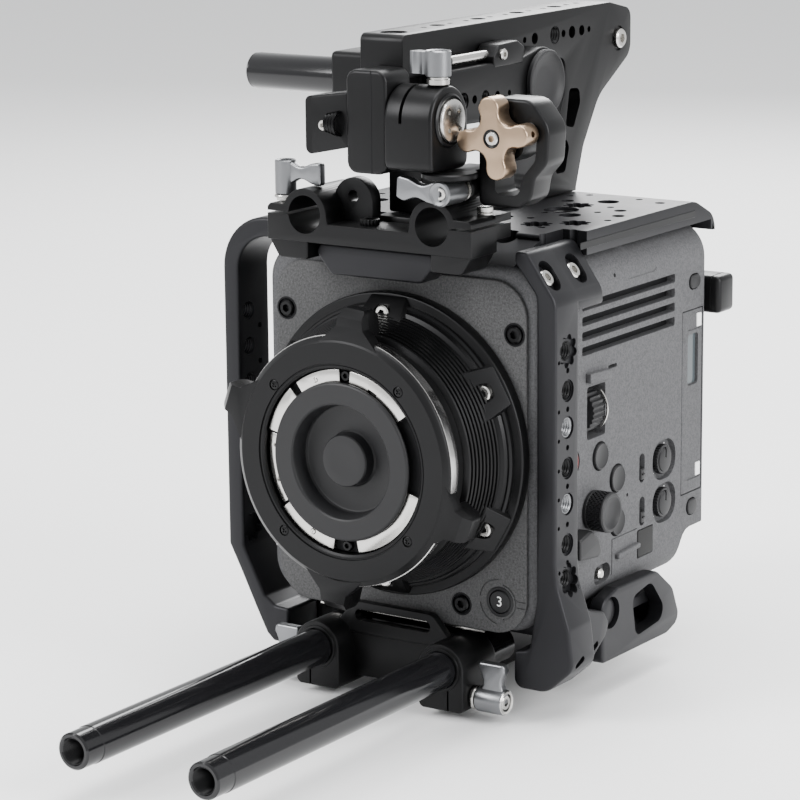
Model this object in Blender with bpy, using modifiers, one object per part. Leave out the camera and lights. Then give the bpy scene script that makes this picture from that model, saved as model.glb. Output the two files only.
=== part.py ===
"""Cinema camera rig: a boxy cinema camera in a cage, with rods, a top handle and a viewfinder bracket.

Lengths in the helpers are millimetres from the optical axis, with Y = 0 at the front panel:
X to the viewer's right, Y to the back, Z up. at() turns them into metres from the tripod face.
"""

from math import acos, cos, degrees, pi, radians, sin

import bmesh
import bpy
from mathutils import Matrix, Vector

# Driving dimensions, millimetres
LENS_Z = 103.0           # optical axis above the underside of the rig
PANEL_Y = 60.0           # front panel ahead of the tripod face's centre
GAP = 0.3                # running gap between neighbouring pieces
BODY_HALF = 65.0         # half width of the camera body
BODY_TOP, BODY_LOW, BODY_REAR = 75.8, -72.0, 138.0
PANEL_HALF, PANEL_TOP, PANEL_LOW, PANEL_T = 59.8, 70.0, -72.5, 1.7
SCREW_R = 3.9            # panel screw heads
FLAT, LOBE_R = 57.0, 61.5    # mount base: apothem of the six flats, radius of its lobes
ROD_R, ROD_X, ROD_Z = 7.5, 30.0, -86.0
ROD_FRONT, ROD_LENGTH = -172.0, 200.0
CLAMP_FRONT, CLAMP_REAR = -17.0, 8.0
UPPER_Z, UPPER_FRONT, UPPER_REAR = 92.5, -21.0, 8.0
PLATE_TOP = 86.0
SIDE_IN, SIDE_OUT = 65.4, 74.0
LOOP_IN, LOOP_OUT = -77.6, -85.2
HANDLE_HALF = 10.0
BEAM_TOP = 164.0
ARM_END = (78.0, 137.5)            # (Y, Z) of the round end of the handle's side arm
ROD_ACROSS_Y, ROD_ACROSS_Z = 20.7, 142.5
FINDER_Y, TILT_Z = -17.0, 133.5    # axis on which the viewfinder block tilts
SWIVEL_X = 36.0                    # vertical axis of the viewfinder swivel
TILT_LEVER = (31.0, -17.0)         # (X, Y)
LEVER_X, LEVER_Z = 37.0, 106.4     # swivel lever's axis
KNOB = (55.0, 127.8)               # (X, Z) of the four-lobed knob

BLACK = (0.022, 0.022, 0.025)
GUN = (0.12, 0.12, 0.13)


def at(x, y, z):
    """Metres in the rig's frame, from millimetres about the optical axis."""
    return Vector((x, y - PANEL_Y, z + LENS_Z)) / 1000


for old in list(bpy.data.objects):
    bpy.data.objects.remove(old, do_unlink=True)
PARTS = bpy.data.collections.new("cinema_camera_rig")
CUTTERS = bpy.data.collections.new("cutters")
CUTTERS.hide_render = True
for group in (PARTS, CUTTERS):
    bpy.context.scene.collection.children.link(group)


def material(name, colour, roughness, metallic):
    made = bpy.data.materials.new(name)
    made.use_nodes = True
    shader = made.node_tree.nodes["Principled BSDF"]
    shader.inputs["Base Color"].default_value = (*colour, 1.0)
    shader.inputs["Roughness"].default_value = roughness
    shader.inputs["Metallic"].default_value = metallic
    return made


def finish(obj, colour=None, roughness=0.45, metallic=0.0):
    """Gives a piece its own material and smooth shading."""
    obj.data.shade_smooth()
    obj.data.set_sharp_from_angle(angle=radians(35))
    obj.data.materials.append(material(obj.name, colour or BLACK, roughness, metallic))
    return obj


def link(name, mesh, origin, helper=False):
    obj = bpy.data.objects.new(name, mesh)
    obj.location = origin
    (CUTTERS if helper else PARTS).objects.link(obj)
    if helper:
        obj.hide_render = True
        obj.display_type = "WIRE"
    return obj


def box(name, low, high, helper=False, bevel=0.0, origin=None, segments=2):
    """A box between two corners, with rounded edges."""
    low, high = at(*low), at(*high)
    centre = at(*origin) if origin else (low + high) / 2
    shape = bmesh.new()
    bmesh.ops.create_cube(shape, size=1.0)
    bmesh.ops.scale(shape, vec=high - low, verts=shape.verts)
    bmesh.ops.translate(shape, vec=(low + high) / 2 - centre, verts=shape.verts)
    mesh = bpy.data.meshes.new(name)
    shape.to_mesh(mesh)
    shape.free()
    obj = link(name, mesh, centre, helper)
    if bevel:
        soften(obj, bevel, segments)
    return obj


def soften(obj, width, segments=2, angle=40):
    rounding = obj.modifiers.new("rounding", "BEVEL")
    rounding.width = width / 1000
    rounding.segments = segments
    rounding.limit_method = "ANGLE"
    rounding.angle_limit = radians(angle)


def arc(centre, radius, start, end, steps):
    """Points on an arc, in degrees, both ends included."""
    turns = [radians(start + (end - start) * i / steps) for i in range(steps + 1)]
    return [(centre[0] + radius * cos(t), centre[1] + radius * sin(t)) for t in turns]


def rounded(corners, steps=3):
    """An outline from corners (u, v, radius), each rounded by an arc that touches both its sides."""
    points = []
    for i, (u, v, radius) in enumerate(corners):
        here = Vector((u, v))
        before = Vector(corners[i - 1][:2]) - here
        after = Vector(corners[(i + 1) % len(corners)][:2]) - here
        if not radius:
            points.append((u, v))
            continue
        turn = before.angle(after)
        reach = radius / abs(sin(turn / 2) / cos(turn / 2))
        centre = here + (before.normalized() + after.normalized()).normalized() * radius / sin(turn / 2)
        first = here + before.normalized() * reach - centre
        last = here + after.normalized() * reach - centre
        swing = first.angle_signed(last)
        for k in range(steps + 1):
            points.append(tuple(centre + Matrix.Rotation(-swing * k / steps, 2) @ first))
    return points


# How a flat outline (u, v) and its thickness lie in space: the axis each one follows
PLANES = {
    "xz": Matrix(((1, 0, 0), (0, 0, -1), (0, 1, 0))),
    "yz": Matrix(((0, 0, 1), (1, 0, 0), (0, 1, 0))),
    "xy": Matrix.Identity(3),
}


def slab(name, plane, outlines, low, high, helper=False, bevel=0.0, origin=(0, 0, 0), segments=1):
    """A flat outline, with any holes in it, from one depth to another along the third axis."""
    across = {"xz": 1, "yz": 0, "xy": 2}[plane]
    middle = [0.0, 0.0, 0.0]
    middle[across] = (low + high) / 2
    flat = bpy.data.curves.new(name, "CURVE")
    flat.dimensions = "2D"
    flat.fill_mode = "BOTH"
    flat.extrude = abs(high - low) / 2000
    for outline in outlines:
        spline = flat.splines.new("POLY")
        spline.points.add(len(outline) - 1)
        for point, (u, v) in zip(spline.points, outline):
            point.co = (u / 1000, v / 1000, 0, 1)
        spline.use_cyclic_u = True
    guide = bpy.data.objects.new(name + "_outline", flat)
    CUTTERS.objects.link(guide)
    bpy.context.view_layer.update()
    mesh = bpy.data.meshes.new_from_object(guide.evaluated_get(bpy.context.evaluated_depsgraph_get()))
    bpy.data.objects.remove(guide)
    turn = PLANES[plane].to_4x4()
    start = at(*origin)
    mesh.transform(Matrix.Translation(at(*middle) - start) @ turn)
    shape = bmesh.new()
    shape.from_mesh(mesh)
    bmesh.ops.remove_doubles(shape, verts=shape.verts, dist=0.00001)
    bmesh.ops.recalc_face_normals(shape, faces=shape.faces)
    shape.to_mesh(mesh)
    shape.free()
    mesh.name = name
    mesh.materials.clear()
    obj = link(name, mesh, start, helper)
    if bevel:
        soften(obj, bevel, segments)
    return obj


TURNS = {"x": Matrix.Rotation(pi / 2, 4, "Y"), "y": Matrix.Rotation(pi / 2, 4, "X"), "z": Matrix.Identity(4)}


def rod(name, axis, centre, radius, low, high, helper=False, sides=24, bevel=0.0, end_radius=None, turn=0.0):
    """A cylinder or cone about a line along an axis through centre, from low to high on that axis."""
    index = "xyz".index(axis)
    middle = list(centre)
    middle[index] = (low + high) / 2
    shape = bmesh.new()
    first, last = radius, radius if end_radius is None else end_radius
    if axis == "y":
        first, last = last, first
    bmesh.ops.create_cone(shape, cap_ends=True, segments=sides, radius1=first / 1000,
                          radius2=last / 1000, depth=(high - low) / 1000,
                          matrix=TURNS[axis] @ Matrix.Rotation(radians(turn), 4, "Z"))
    mesh = bpy.data.meshes.new(name)
    shape.to_mesh(mesh)
    shape.free()
    obj = link(name, mesh, at(*middle), helper)
    if bevel:
        soften(obj, bevel, 1, 60)
    return obj


def turned(name, axis, centre, profile, sides=32, helper=False):
    """A solid of revolution. The profile is (radius, place along the axis), outer side first, top to bottom."""
    mesh = bpy.data.meshes.new(name)
    shape = bmesh.new()
    spots = [shape.verts.new((r / 1000, 0, h / 1000)) for r, h in profile]
    closed = profile[0][0] > 0 and profile[-1][0] > 0
    for first, last in zip(spots, spots[1:] + spots[:1] if closed else spots[1:]):
        shape.edges.new((first, last))
    shape.to_mesh(mesh)
    shape.free()
    obj = link(name, mesh, at(*centre), helper)
    # Local +Z is the axis: for Y it points to the front, so heights there count forwards.
    obj.rotation_euler = {"x": (0, pi / 2, 0), "y": (pi / 2, 0, 0), "z": (0, 0, 0)}[axis]
    spin = obj.modifiers.new("spin", "SCREW")
    spin.steps = spin.render_steps = sides
    spin.use_merge_vertices = True
    spin.merge_threshold = 0.00001
    spin.use_smooth_shade = True
    return obj


def boolean(obj, other, operation):
    change = obj.modifiers.new(other.name, "BOOLEAN")
    change.operation = operation
    change.object = other
    change.solver = "EXACT"


def cut(obj, *others):
    for other in others:
        boolean(obj, other, "DIFFERENCE")
    return obj


def join(obj, *others):
    for other in others:
        boolean(obj, other, "UNION")
    return obj


def hole(obj, axis, centre, radius, low, high, sides=16):
    cut(obj, rod(obj.name + "_hole", axis, centre, radius, low, high, True, sides))


def pocket(obj, low, high, bevel=0.0):
    cut(obj, box(obj.name + "_pocket", low, high, True, bevel))


def oval(centre, half_u, half_v, steps=4):
    """A slot outline with round ends, along its longer half."""
    radius = min(half_u, half_v)
    u, v = half_u - radius, half_v - radius
    if half_u >= half_v:
        return arc((centre[0] + u, centre[1]), radius, -90, 90, steps) + arc(
            (centre[0] - u, centre[1]), radius, 90, 270, steps)
    return arc((centre[0], centre[1] + v), radius, 0, 180, steps) + arc(
        (centre[0], centre[1] - v), radius, 180, 360, steps)


def block(u0, v0, u1, v1, radius=0.0):
    """The corners of an upright rectangle, for rounded()."""
    return [(u0, v0, radius), (u1, v0, radius), (u1, v1, radius), (u0, v1, radius)]


# Camera body ---------------------------------------------------------------

DIALS = ((101.4, -19.9), (101.7, -38.5))
SWITCHES = ((82.7, -19.8), (83.0, -38.2))
SIDE_BUTTONS = ((48.2, -7.6), (62.0, -19.7), (62.0, -38.0))
RECORD_BUTTON = (26.1, -6.3)
REAR_BUTTONS = ((126.2, 51.7), (125.6, -45.4))
FRONT_BUTTON = (47.5, -59.4)
PANEL_SCREWS = ((-54.4, 49.3), (54.4, 49.3), (-29.4, -63.0), (29.4, -63.0))
WHEEL_Y, WHEEL_Z, WHEEL_R = 44.8, 11.6, 10.0
JOG = (42.0, -28.6)
DOOR = ((116.3, -38.9), (133.5, 39.8))
COVER = ((79.5, -57.5), (92.0, -46.0))
SLIDE = (50.3, -57.0)


def camera_body():
    corners = block(-BODY_HALF, BODY_LOW, BODY_HALF, BODY_TOP, 15)
    body = slab("camera_body", "xz", [rounded(corners, 5)], PANEL_T + GAP, BODY_REAR, bevel=4, segments=2)
    pocket(body, (-80, 116, -90), (80, 150, -54), 8)
    pocket(body, (-52, 14, -50), (52, 60, 50))
    hole(body, "y", (0, 0, 0), 27, -5, 20, 32)
    for row in range(4):
        z = 55.7 - 6.05 * row
        pocket(body, (55, 33.7, z - 1.85), (70, 109.4, z + 1.85))
    for y, z in DIALS:
        outline = rounded(block(y - 9.5, z - 8, y + 9.5, z + 8, 4), 2)
        cut(body, slab("dial_recess", "yz", [outline], 62.5, 70, True))
    for y, z in SWITCHES:
        cut(body, slab("switch_recess", "yz", [oval((y, z), 1.9, 5.7, 3)], 62.5, 70, True))
    for y, z in SIDE_BUTTONS + (RECORD_BUTTON,):
        hole(body, "x", (0, y, z), 5.9, 61.8, 70, 16)
    for y, z in REAR_BUTTONS:
        cut(body, slab("button_recess", "yz", [oval((y, z), 4.6, 3.6, 4)], 61.8, 70, True))
    hole(body, "y", (FRONT_BUTTON[0], 0, FRONT_BUTTON[1]), 5.1, -1, 5, 20)
    pocket(body, (46.4, 37.7, 1.0), (70, 52, 22.2))
    pocket(body, (52, 118.5, -36), (70, 131.5, 37))
    pocket(body, (62.6, DOOR[0][0] - GAP, DOOR[0][1] - GAP), (70, DOOR[1][0] + 0.7, DOOR[1][1] + GAP))
    pocket(body, (63.6, COVER[0][0] - 0.5, COVER[0][1] - GAP), (70, COVER[1][0] + GAP, COVER[1][1] + GAP))
    cut(body, slab("slide_recess", "yz", [oval(SLIDE, 5.6, 3.4, 3)], 62.2, 70, True))
    finish(body, (0.16, 0.16, 0.165), 0.6)


def front_panel():
    corners = block(-PANEL_HALF, PANEL_LOW, PANEL_HALF, PANEL_TOP, 15)
    panel = slab("front_panel", "xz", [rounded(corners, 5)], 0, PANEL_T, bevel=0.6)
    hole(panel, "y", (0, 0, 0), 30, -5, 5, 32)
    for x, z in PANEL_SCREWS:
        hole(panel, "y", (x, 0, z), SCREW_R + GAP, -5, 5, 14)
    hole(panel, "y", (FRONT_BUTTON[0], 0, FRONT_BUTTON[1]), 5.1, -5, 5, 20)
    finish(panel, (0.09, 0.09, 0.092), 0.65)
    for i, (x, z) in enumerate(PANEL_SCREWS):
        screw = rod(f"panel_screw_{i + 1}", "y", (x, 0, z), SCREW_R, 0.3, PANEL_T, sides=14)
        hole(screw, "y", (x, 0, z), 1.5, -2, 1.1, 6)
        finish(screw, BLACK, 0.35, 0.8)
    button = rod("front_button", "y", (FRONT_BUTTON[0], 0, FRONT_BUTTON[1]), 4.7, -0.7, 3.6, sides=16, bevel=0.4)
    finish(button, BLACK, 0.4)


def side_controls():
    for i, (y, z) in enumerate(SIDE_BUTTONS):
        finish(rod(f"side_button_{i + 1}", "x", (0, y, z), 5.5, 63.2, 66.2, sides=16), BLACK, 0.5)
    y, z = RECORD_BUTTON
    finish(rod("record_button", "x", (0, y, z), 5.5, 63.2, 65.1, sides=16), (0.3, 0.03, 0.03), 0.4)
    for i, (y, z) in enumerate(REAR_BUTTONS):
        key = slab(("clips_button", "menu_button")[i], "yz", [oval((y, z), 4.2, 3.2, 4)], 63.2, 65.8,
                   bevel=0.4, origin=(64, y, z))
        finish(key, BLACK, 0.5)
    wheel = rod("filter_wheel", "y", (57, 0, WHEEL_Z), WHEEL_R, WHEEL_Y - 4.5, WHEEL_Y + 4.5, sides=20)
    finish(wheel, BLACK, 0.5)
    knob = rod("jog_knob", "x", (0, *JOG), 8.3, 65.3, 74.3, sides=20, bevel=0.8)
    hole(knob, "x", (0, *JOG), 6.0, 73.4, 80, 16)
    finish(knob, BLACK, 0.45)
    for i, (y, z) in enumerate(DIALS):
        dial = rod(f"audio_dial_{i + 1}", "x", (0, y, z), 6.6, 62.8, 66.4, sides=16, bevel=0.5)
        pocket(dial, (65.9, y - 0.5, z + 1), (70, y + 0.5, z + 8))
        finish(dial, BLACK, 0.45)
    for i, (y, z) in enumerate(SWITCHES):
        finish(box(f"audio_switch_{i + 1}", (62.8, y - 1.5, z - 4.6), (65.9, y + 1.5, z - 0.4), bevel=0.5), BLACK)
    y, z = SLIDE
    finish(box("power_switch", (62.5, y - 3.2, z - 2.2), (66.0, y + 0.4, z + 2.2), bevel=0.6), GUN)
    (y0, z0), (y1, z1) = DOOR
    door = box("card_door", (62.9, y0, z0), (65.0, y1, z1), bevel=0.4, origin=(65.2, 133.8, 0))
    pocket(door, (64.4, 120, 8), (70, 129, 30))
    finish(door, (0.16, 0.16, 0.165), 0.6)
    (y0, z0), (y1, z1) = COVER
    finish(box("port_cover", (63.9, y0, z0), (65.4, y1, z1), bevel=0.3, origin=(65.5, 79.3, -51.7)), BLACK, 0.7)


def inner_parts():
    sensor = box("image_sensor", (-28, 46, -20), (28, 59.7, 20), bevel=0.5, segments=1)
    pocket(sensor, (-18.5, 40, -10.5), (18.5, 47, 10.5))
    finish(sensor, (0.02, 0.03, 0.03), 0.2)
    finish(box("nd_filter", (-51.7, 20, -30), (51.7, 23, 30)), (0.05, 0.06, 0.07), 0.1)


def battery_plate():
    plate = box("battery_plate", (-40, 138.3, -45), (40, 146, 30), bevel=1.5)
    bar = box("battery_bar", (-70.5, 138.3, 36), (70.5, 152, 52), True, bevel=2)
    neck = box("battery_neck", (-30, 138.3, 20), (30, 144, 45), True)
    join(plate, bar, neck)
    pocket(plate, (-20, 141, -38), (20, 150, 12), 1)
    finish(plate, GUN, 0.5)


# Lens mount ----------------------------------------------------------------

LUGS = (160, 85, -20, -95)
RING_FRONT, RING_BACK = -41.5, -35.0


def mount_base():
    spread = degrees(acos(FLAT / LOBE_R))
    outline = []
    for side in range(6):
        outline += arc((0, 0), LOBE_R, 60 * side - spread, 60 * side + spread, 1)
        outline += arc((0, 0), LOBE_R, 60 * side + spread, 60 * side + 60 - spread, 2)[1:-1]
    base = slab("mount_housing", "xz", [outline], -10.0, -GAP, bevel=1)
    barrel = turned("barrel", "y", (0, 0, 0), [
        (27, 34.6), (46.7, 34.6), (46.7, 26.5), (49.0, 25.5), (54.5, 9.8), (54.5, 5), (27, 5)], 36, True)
    join(base, barrel)
    hole(base, "y", (0, 0, 0), 28, -20, 5, 36)
    for turn in range(30, 390, 60):
        spot = (54.4 * cos(radians(turn)), 0, 54.4 * sin(radians(turn)))
        hole(base, "y", spot, 4.6, -30, -9.8, 10)
    finish(base, BLACK, 0.5)
    finish(turned("mount_band", "y", (0, 0, 0), [(47.0, 34.7), (48.6, 34.7), (48.6, 31.5), (47.0, 31.5)], 36),
           (0.75, 0.76, 0.78), 0.15, 1.0)
    flange = turned("flange_ring", "y", (0, 0, 0), [(29, 39.6), (36.5, 39.6), (36.5, 34.9), (29, 34.9)], 36)
    for turn in (20, 110, 200, 290):
        x, z = 29 * cos(radians(turn)), 29 * sin(radians(turn))
        hole(flange, "y", (x, 0, z), 3.0, -45, -37.5, 8)
    finish(flange, (0.8, 0.8, 0.8), 0.2, 1.0)


def lug(turn):
    """A tapered finger tab on the locking ring."""
    along, side = Vector((cos(radians(turn)), sin(radians(turn)))), Vector((-sin(radians(turn)), cos(radians(turn))))
    shape = ((47, -13), (53, -7.5), (61, -5.5), (61, 5.5), (53, 7.5), (47, 13))
    return [tuple(along * out + side * across) for out, across in shape]


def lock_ring():
    ring = turned("lock_ring", "y", (0, 0, 0), [
        (37, -RING_FRONT), (48.5, -RING_FRONT), (50, 39.5), (50, -RING_BACK), (37, -RING_BACK)], 40)
    for turn in LUGS:
        join(ring, slab("lug", "xz", [lug(turn)], RING_FRONT + 0.4, RING_BACK - 0.2, True, bevel=0.8))
    finish(ring, BLACK, 0.45)


def mount_cap():
    cap = turned("mount_cap", "y", (0, 0, 0), [
        (0, 39), (9.8, 39), (10.5, 38.4), (10.8, 33), (21.8, 33), (22.5, 41), (27.6, 41), (28.4, 40.5),
        (28.4, 36.3), (26.5, 36), (25.5, 22), (24, 20), (0, 20)], 28)
    finish(cap, BLACK, 0.4)


# Cage ----------------------------------------------------------------------

def strap_pocket(y):
    """A slanted pocket for a socket screw in the 45 degree strap."""
    well = rod("strap_pocket", "z", (0, 0, 0), 4.3, -7, 7, True, 10)
    well.location = at(74.6, y, 81.6)
    well.rotation_euler = (0, radians(38), 0)
    return well


def cage_right():
    outline = rounded([
        (55, -93, 3), (70, -93, 7), (82.5, -82, 6), (80.5, -66, 6), (75, -50, 12), (SIDE_OUT, -40, 0),
        (SIDE_OUT, 64, 9), (61, 82.5, 3), (55.5, 82.5, 0), (55.5, 78, 0),
        (65.4, 65.5, 6), (SIDE_IN, -56, 6), (62, -76.5, 3), (55, -78, 0)])
    side = slab("cage_right", "xz", [outline], -2, 16.2, bevel=0.8)
    corner = rounded([(73.7, 60, 0), (73.7, 64, 9), (61, 82.2, 3), (55.8, 82.2, 0), (55.8, 78.2, 0),
                      (65.8, 65.7, 6), (65.8, 60, 0)])
    lobe = rounded([(10, -88, 0), (22, -86, 3), (34, -78, 4), (37.5, -73, 3), (33, -67, 4), (20, -63.5, 6),
                    (13, -50, 0), (10, -50, 0)])
    join(side, slab("corner_strap", "xz", [corner], 10, 35.0, True),
         slab("lobe", "yz", [lobe], 66, 76.5, True))
    for row, z in enumerate((43.6, 28.0, 13.3, -2.9, -17.4, -33.8, -48.0)):
        hole(side, "x", (0, 7.5, z), 5.6 if row in (0, 6) else 3.6, 72.4, 80, 10)
        hole(side, "x", (0, 7.5, z), 2.4, 60, 80, 8)
    cut(side, strap_pocket(4), strap_pocket(25))
    finish(side, (0.1, 0.1, 0.11), 0.5, 0.7)


def cage_left():
    mid = 22
    outer = arc((LOOP_OUT + mid, 86 - mid), mid, 90, 180, 5)
    inner = arc((LOOP_IN + mid - 7, 78 - mid + 7), mid - 7, 180, 90, 5)
    outline = [(-56, 86)] + outer + [
        (LOOP_OUT, -53.7), (-79.6, -64.3), (-71.7, -80.1), (-66.5, -90), (-63, -93), (-55, -93),
        (-55, -78), (-62, -77.5), (-67, -74), (-73.3, -61.7), (LOOP_IN, -53.6)] + inner + [(-56, 78)]
    loop = slab("cage_left", "xz", [outline], -2, 19.5, bevel=0.8)
    for z in (45.3, 30.2, 15.0, 0.0, -15.5, -31.0, -47.1):
        hole(loop, "x", (0, 5, z), 3.2, -90, -70, 10)
    finish(loop, (0.1, 0.1, 0.11), 0.5, 0.7)


TOP_HOLES = ((40, 18, 4.8), (52, 50, 4.8), (24, 30, 2.7), (40, 66, 4.8), (30, 76, 5.0),
             (52, 86, 2.7), (36, 104, 4.8), (-30, 30, 4.8), (-30, 60, 2.7), (-30, 90, 4.8))


def top_plate():
    outline = [(-2 + GAP, 76.4), (138.3, 76.4), (138.3, 72.0)] + rounded([
        (142.0, 71.5, 1), (142.0, 77.5, 8), (124, PLATE_TOP, 12), (-2 + GAP, PLATE_TOP, 1)], 3)
    plate = slab("top_plate", "yz", [outline], -66, 66, bevel=0.8)
    pocket(plate, (55.2, -10, 70), (80, 35.3, 100))
    pocket(plate, (-80, -10, 70), (-55.7, 19.8, 100))
    for x, y, radius in TOP_HOLES:
        hole(plate, "z", (x, y, 0), radius, 70, 95, 10)
    finish(plate, (0.09, 0.09, 0.1), 0.5, 0.7)


def base_plate():
    """A deck under the body between two cheeks, each with an outer flank and a window at its rear."""
    plate = box("base_plate", (-54.7, 20.0, -78.2), (54.7, 104, -73.8), bevel=0.6, segments=1)
    cheek = rounded([(20, -92, 1), (94, -92.6, 8), (105, -90, 4), (104.5, -82, 5), (98, -74, 2), (20, -74, 1)])
    opening = rounded([(66, -88, 2), (92, -87, 4), (96, -83.5, 2), (92, -78.5, 2), (66, -78.5, 2)])
    flank = rounded([(39, -92, 2), (94, -92.6, 8), (105.3, -89, 5), (98.5, -73.5, 7), (84.5, -63, 7),
                     (52, -62.6, 3), (39, -66, 4)])
    window = rounded([(63.5, -69.5, 3), (67, -87.2, 3), (94.5, -84.4, 4), (79.6, -66.6, 4)])
    for side in (-1, 1):
        inner = slab("cheek", "yz", [cheek, opening], *sorted((side * 54, side * 64.6)), True)
        outer = slab("flank", "yz", [flank, window], *sorted((side * 65.2, side * 71.6)), True, bevel=0.8)
        near, far = sorted((side * 64, side * 66))
        join(plate, inner, box("link", (near, 42, -91), (far, 62, -75), True), outer)
    finish(plate, (0.06, 0.06, 0.065), 0.5, 0.7)


def lower_clamp():
    def barrel(x):
        return arc((x, ROD_Z), 10.6, 180, 0, 8) + [(x + 10.6, -101), (x + 8.6, -103), (x - 8.6, -103),
                                                     (x - 10.6, -101)]
    clamp = slab("rod_clamp_lower", "xz", [barrel(-ROD_X)], CLAMP_FRONT, CLAMP_REAR)
    other = slab("clamp_right", "xz", [barrel(ROD_X)], CLAMP_FRONT, CLAMP_REAR, True)
    lip = rounded([(-33, -81, 0), (33, -81, 0), (28, -78, 0), (19, -67.6, 4), (-19, -67.6, 4), (-28, -78, 0)], 2)
    bridge = slab("bridge", "xz", [lip], -5.8, -2.2, True)
    tie = box("tie", (-25, -5.0, -99.5), (25, 6.5, -79.3), True)
    join(clamp, tie, other, bridge)
    cut(clamp, slab("lip_slot", "xz", [oval((0, -73.2), 18.3, 2.4)], -10, 0, True))
    for x in (-ROD_X, ROD_X):
        hole(clamp, "y", (x, 0, ROD_Z), ROD_R + 0.15, -25, 20, 24)
        edge = 3.5 if x > 0 else -3.5
        pocket(clamp, (x + edge - 0.45, -25, -110), (x + edge + 0.45, 20, ROD_Z))
    finish(clamp, BLACK, 0.5, 0.7)


def rods():
    for side, name in ((-1, "rod_left"), (1, "rod_right")):
        x = side * ROD_X
        tube = rod(name, "y", (x, 0, ROD_Z), ROD_R, ROD_FRONT, ROD_FRONT + ROD_LENGTH, sides=24, bevel=1.0)
        hole(tube, "y", (x, 0, ROD_Z), 5.0, ROD_FRONT - 5, ROD_FRONT + 14, 12)
        finish(tube, (0.012, 0.012, 0.014), 0.15)


def tripod_block():
    foot = box("tripod_block", (-21, 8.6, -103), (21, 100, -78.5), bevel=1.2)
    for y in (30, 80):
        hole(foot, "z", (0, y, 0), 4.0, -110, -90, 16)
    finish(foot, GUN, 0.5, 0.8)


def lever(name, axis, centre, radius, low, high, wing, helper_axis, colour=(0.45, 0.45, 0.47)):
    """A thumb lever: a round hub along the axis and a waisted wing beside it."""
    hub = rod(name, axis, centre, radius, low, high, sides=16)
    join(hub, slab("wing", helper_axis, [wing[0]], wing[1], wing[2], True))
    hole(hub, axis, centre, radius * 0.6, *wing[3], 10)
    finish(hub, colour, 0.3, 0.9)
    return hub


def lower_levers():
    """The wing stands up from the hub, outside each rod clamp."""
    for side, name in ((-1, "rod_lever_left"), (1, "rod_lever_right")):
        y, z = -8.5, -97.6
        near, far = side * 43.0, side * 56.0
        wing = [(near, z), (near, z + 5), (near + side * 1.2, z + 8), (near, z + 12), (near, z + 15.5),
                (far - side, z + 15.5), (far - side, z)]
        low, high = sorted((near - side * 1.8, far))
        socket = (high - 1.2, high + 5) if side > 0 else (low - 5, low + 1.2)
        lever(name, "x", (0, y, z), 5.2, low, high, (wing, y - 1.8, y + 1.8, socket), "xz")


# Upper rod clamps and nameplate ----------------------------------------------

def upper_clamp():
    left = [(-48, 81.5), (-48, 96), (-39.8, 96)] + arc((-ROD_X, UPPER_Z), 10.4, 158, 0, 8) + [(-19, 90)]
    right = [(-x, z) for x, z in reversed(left)]
    outline = left + right + [(48, 81.5)]
    clamp = slab("rod_clamp_upper", "xz", [outline], UPPER_FRONT, -2.4)
    rear = [(-48, 86.3), (-48, 96), (-39.8, 96)] + arc((-ROD_X, UPPER_Z), 10.4, 158, 0, 8) + [(-19.6, 86.3)]
    for side in (-1, 1):
        shape = rear if side < 0 else [(-x, z) for x, z in rear]
        join(clamp, slab("clamp_rear", "xz", [shape], -3, UPPER_REAR, True))
        tab = [(side * x, z) for x, z in ((47, 82), (43, 74.5), (29, 74.5), (29, 82))]
        join(clamp, slab("tab", "xz", [tab], UPPER_FRONT + 0.4, -2.4, True))
        hole(clamp, "y", (side * ROD_X, 0, UPPER_Z), ROD_R + 0.15, -30, 20, 20)
        low, high = sorted((side * 34, side * 60))
        pocket(clamp, (low, -30, UPPER_Z - 0.7), (high, 20, UPPER_Z + 0.7))
    arch = [(-24, 88)] + arc((-15, 98.5), 8.5, 180, 0, 6) + [(-6.5, 88)]
    join(clamp, slab("arch", "xz", [arch], -9, -3, True, bevel=0.6))
    hole(clamp, "y", (-15, 0, 99.5), 2.3, -12, 0, 12)
    finish(clamp, BLACK, 0.5, 0.7)
    plate = rounded([(-26.2, 80.9, 0), (26.2, 80.9, 0), (28.2, 77, 2), (21.3, 68.6, 3), (-21.3, 68.6, 3),
                     (-28.2, 77, 2)], 2)
    badge = slab("nameplate", "xz", [plate], -16, -3, bevel=0.8)
    finish(badge, (0.05, 0.05, 0.055), 0.5, 0.7)
    wing = ([(-43, -15), (-34, -15.4), (-26.5, -17), (-26.5, -14), (-34, -11.6), (-43, -11)], 103.5, 112.5,
            (111.5, 120))
    lever("rod_lever_upper", "z", (-44.4, -13, 0), 4.3, 96.4, 112.5, wing, "xy")
    post = rod("clamp_post", "z", (43.6, -4, 0), 3.2, 96.4, 99.7, sides=16)
    finish(post, (0.7, 0.7, 0.7), 0.2, 1.0)


# Handle --------------------------------------------------------------------

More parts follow.
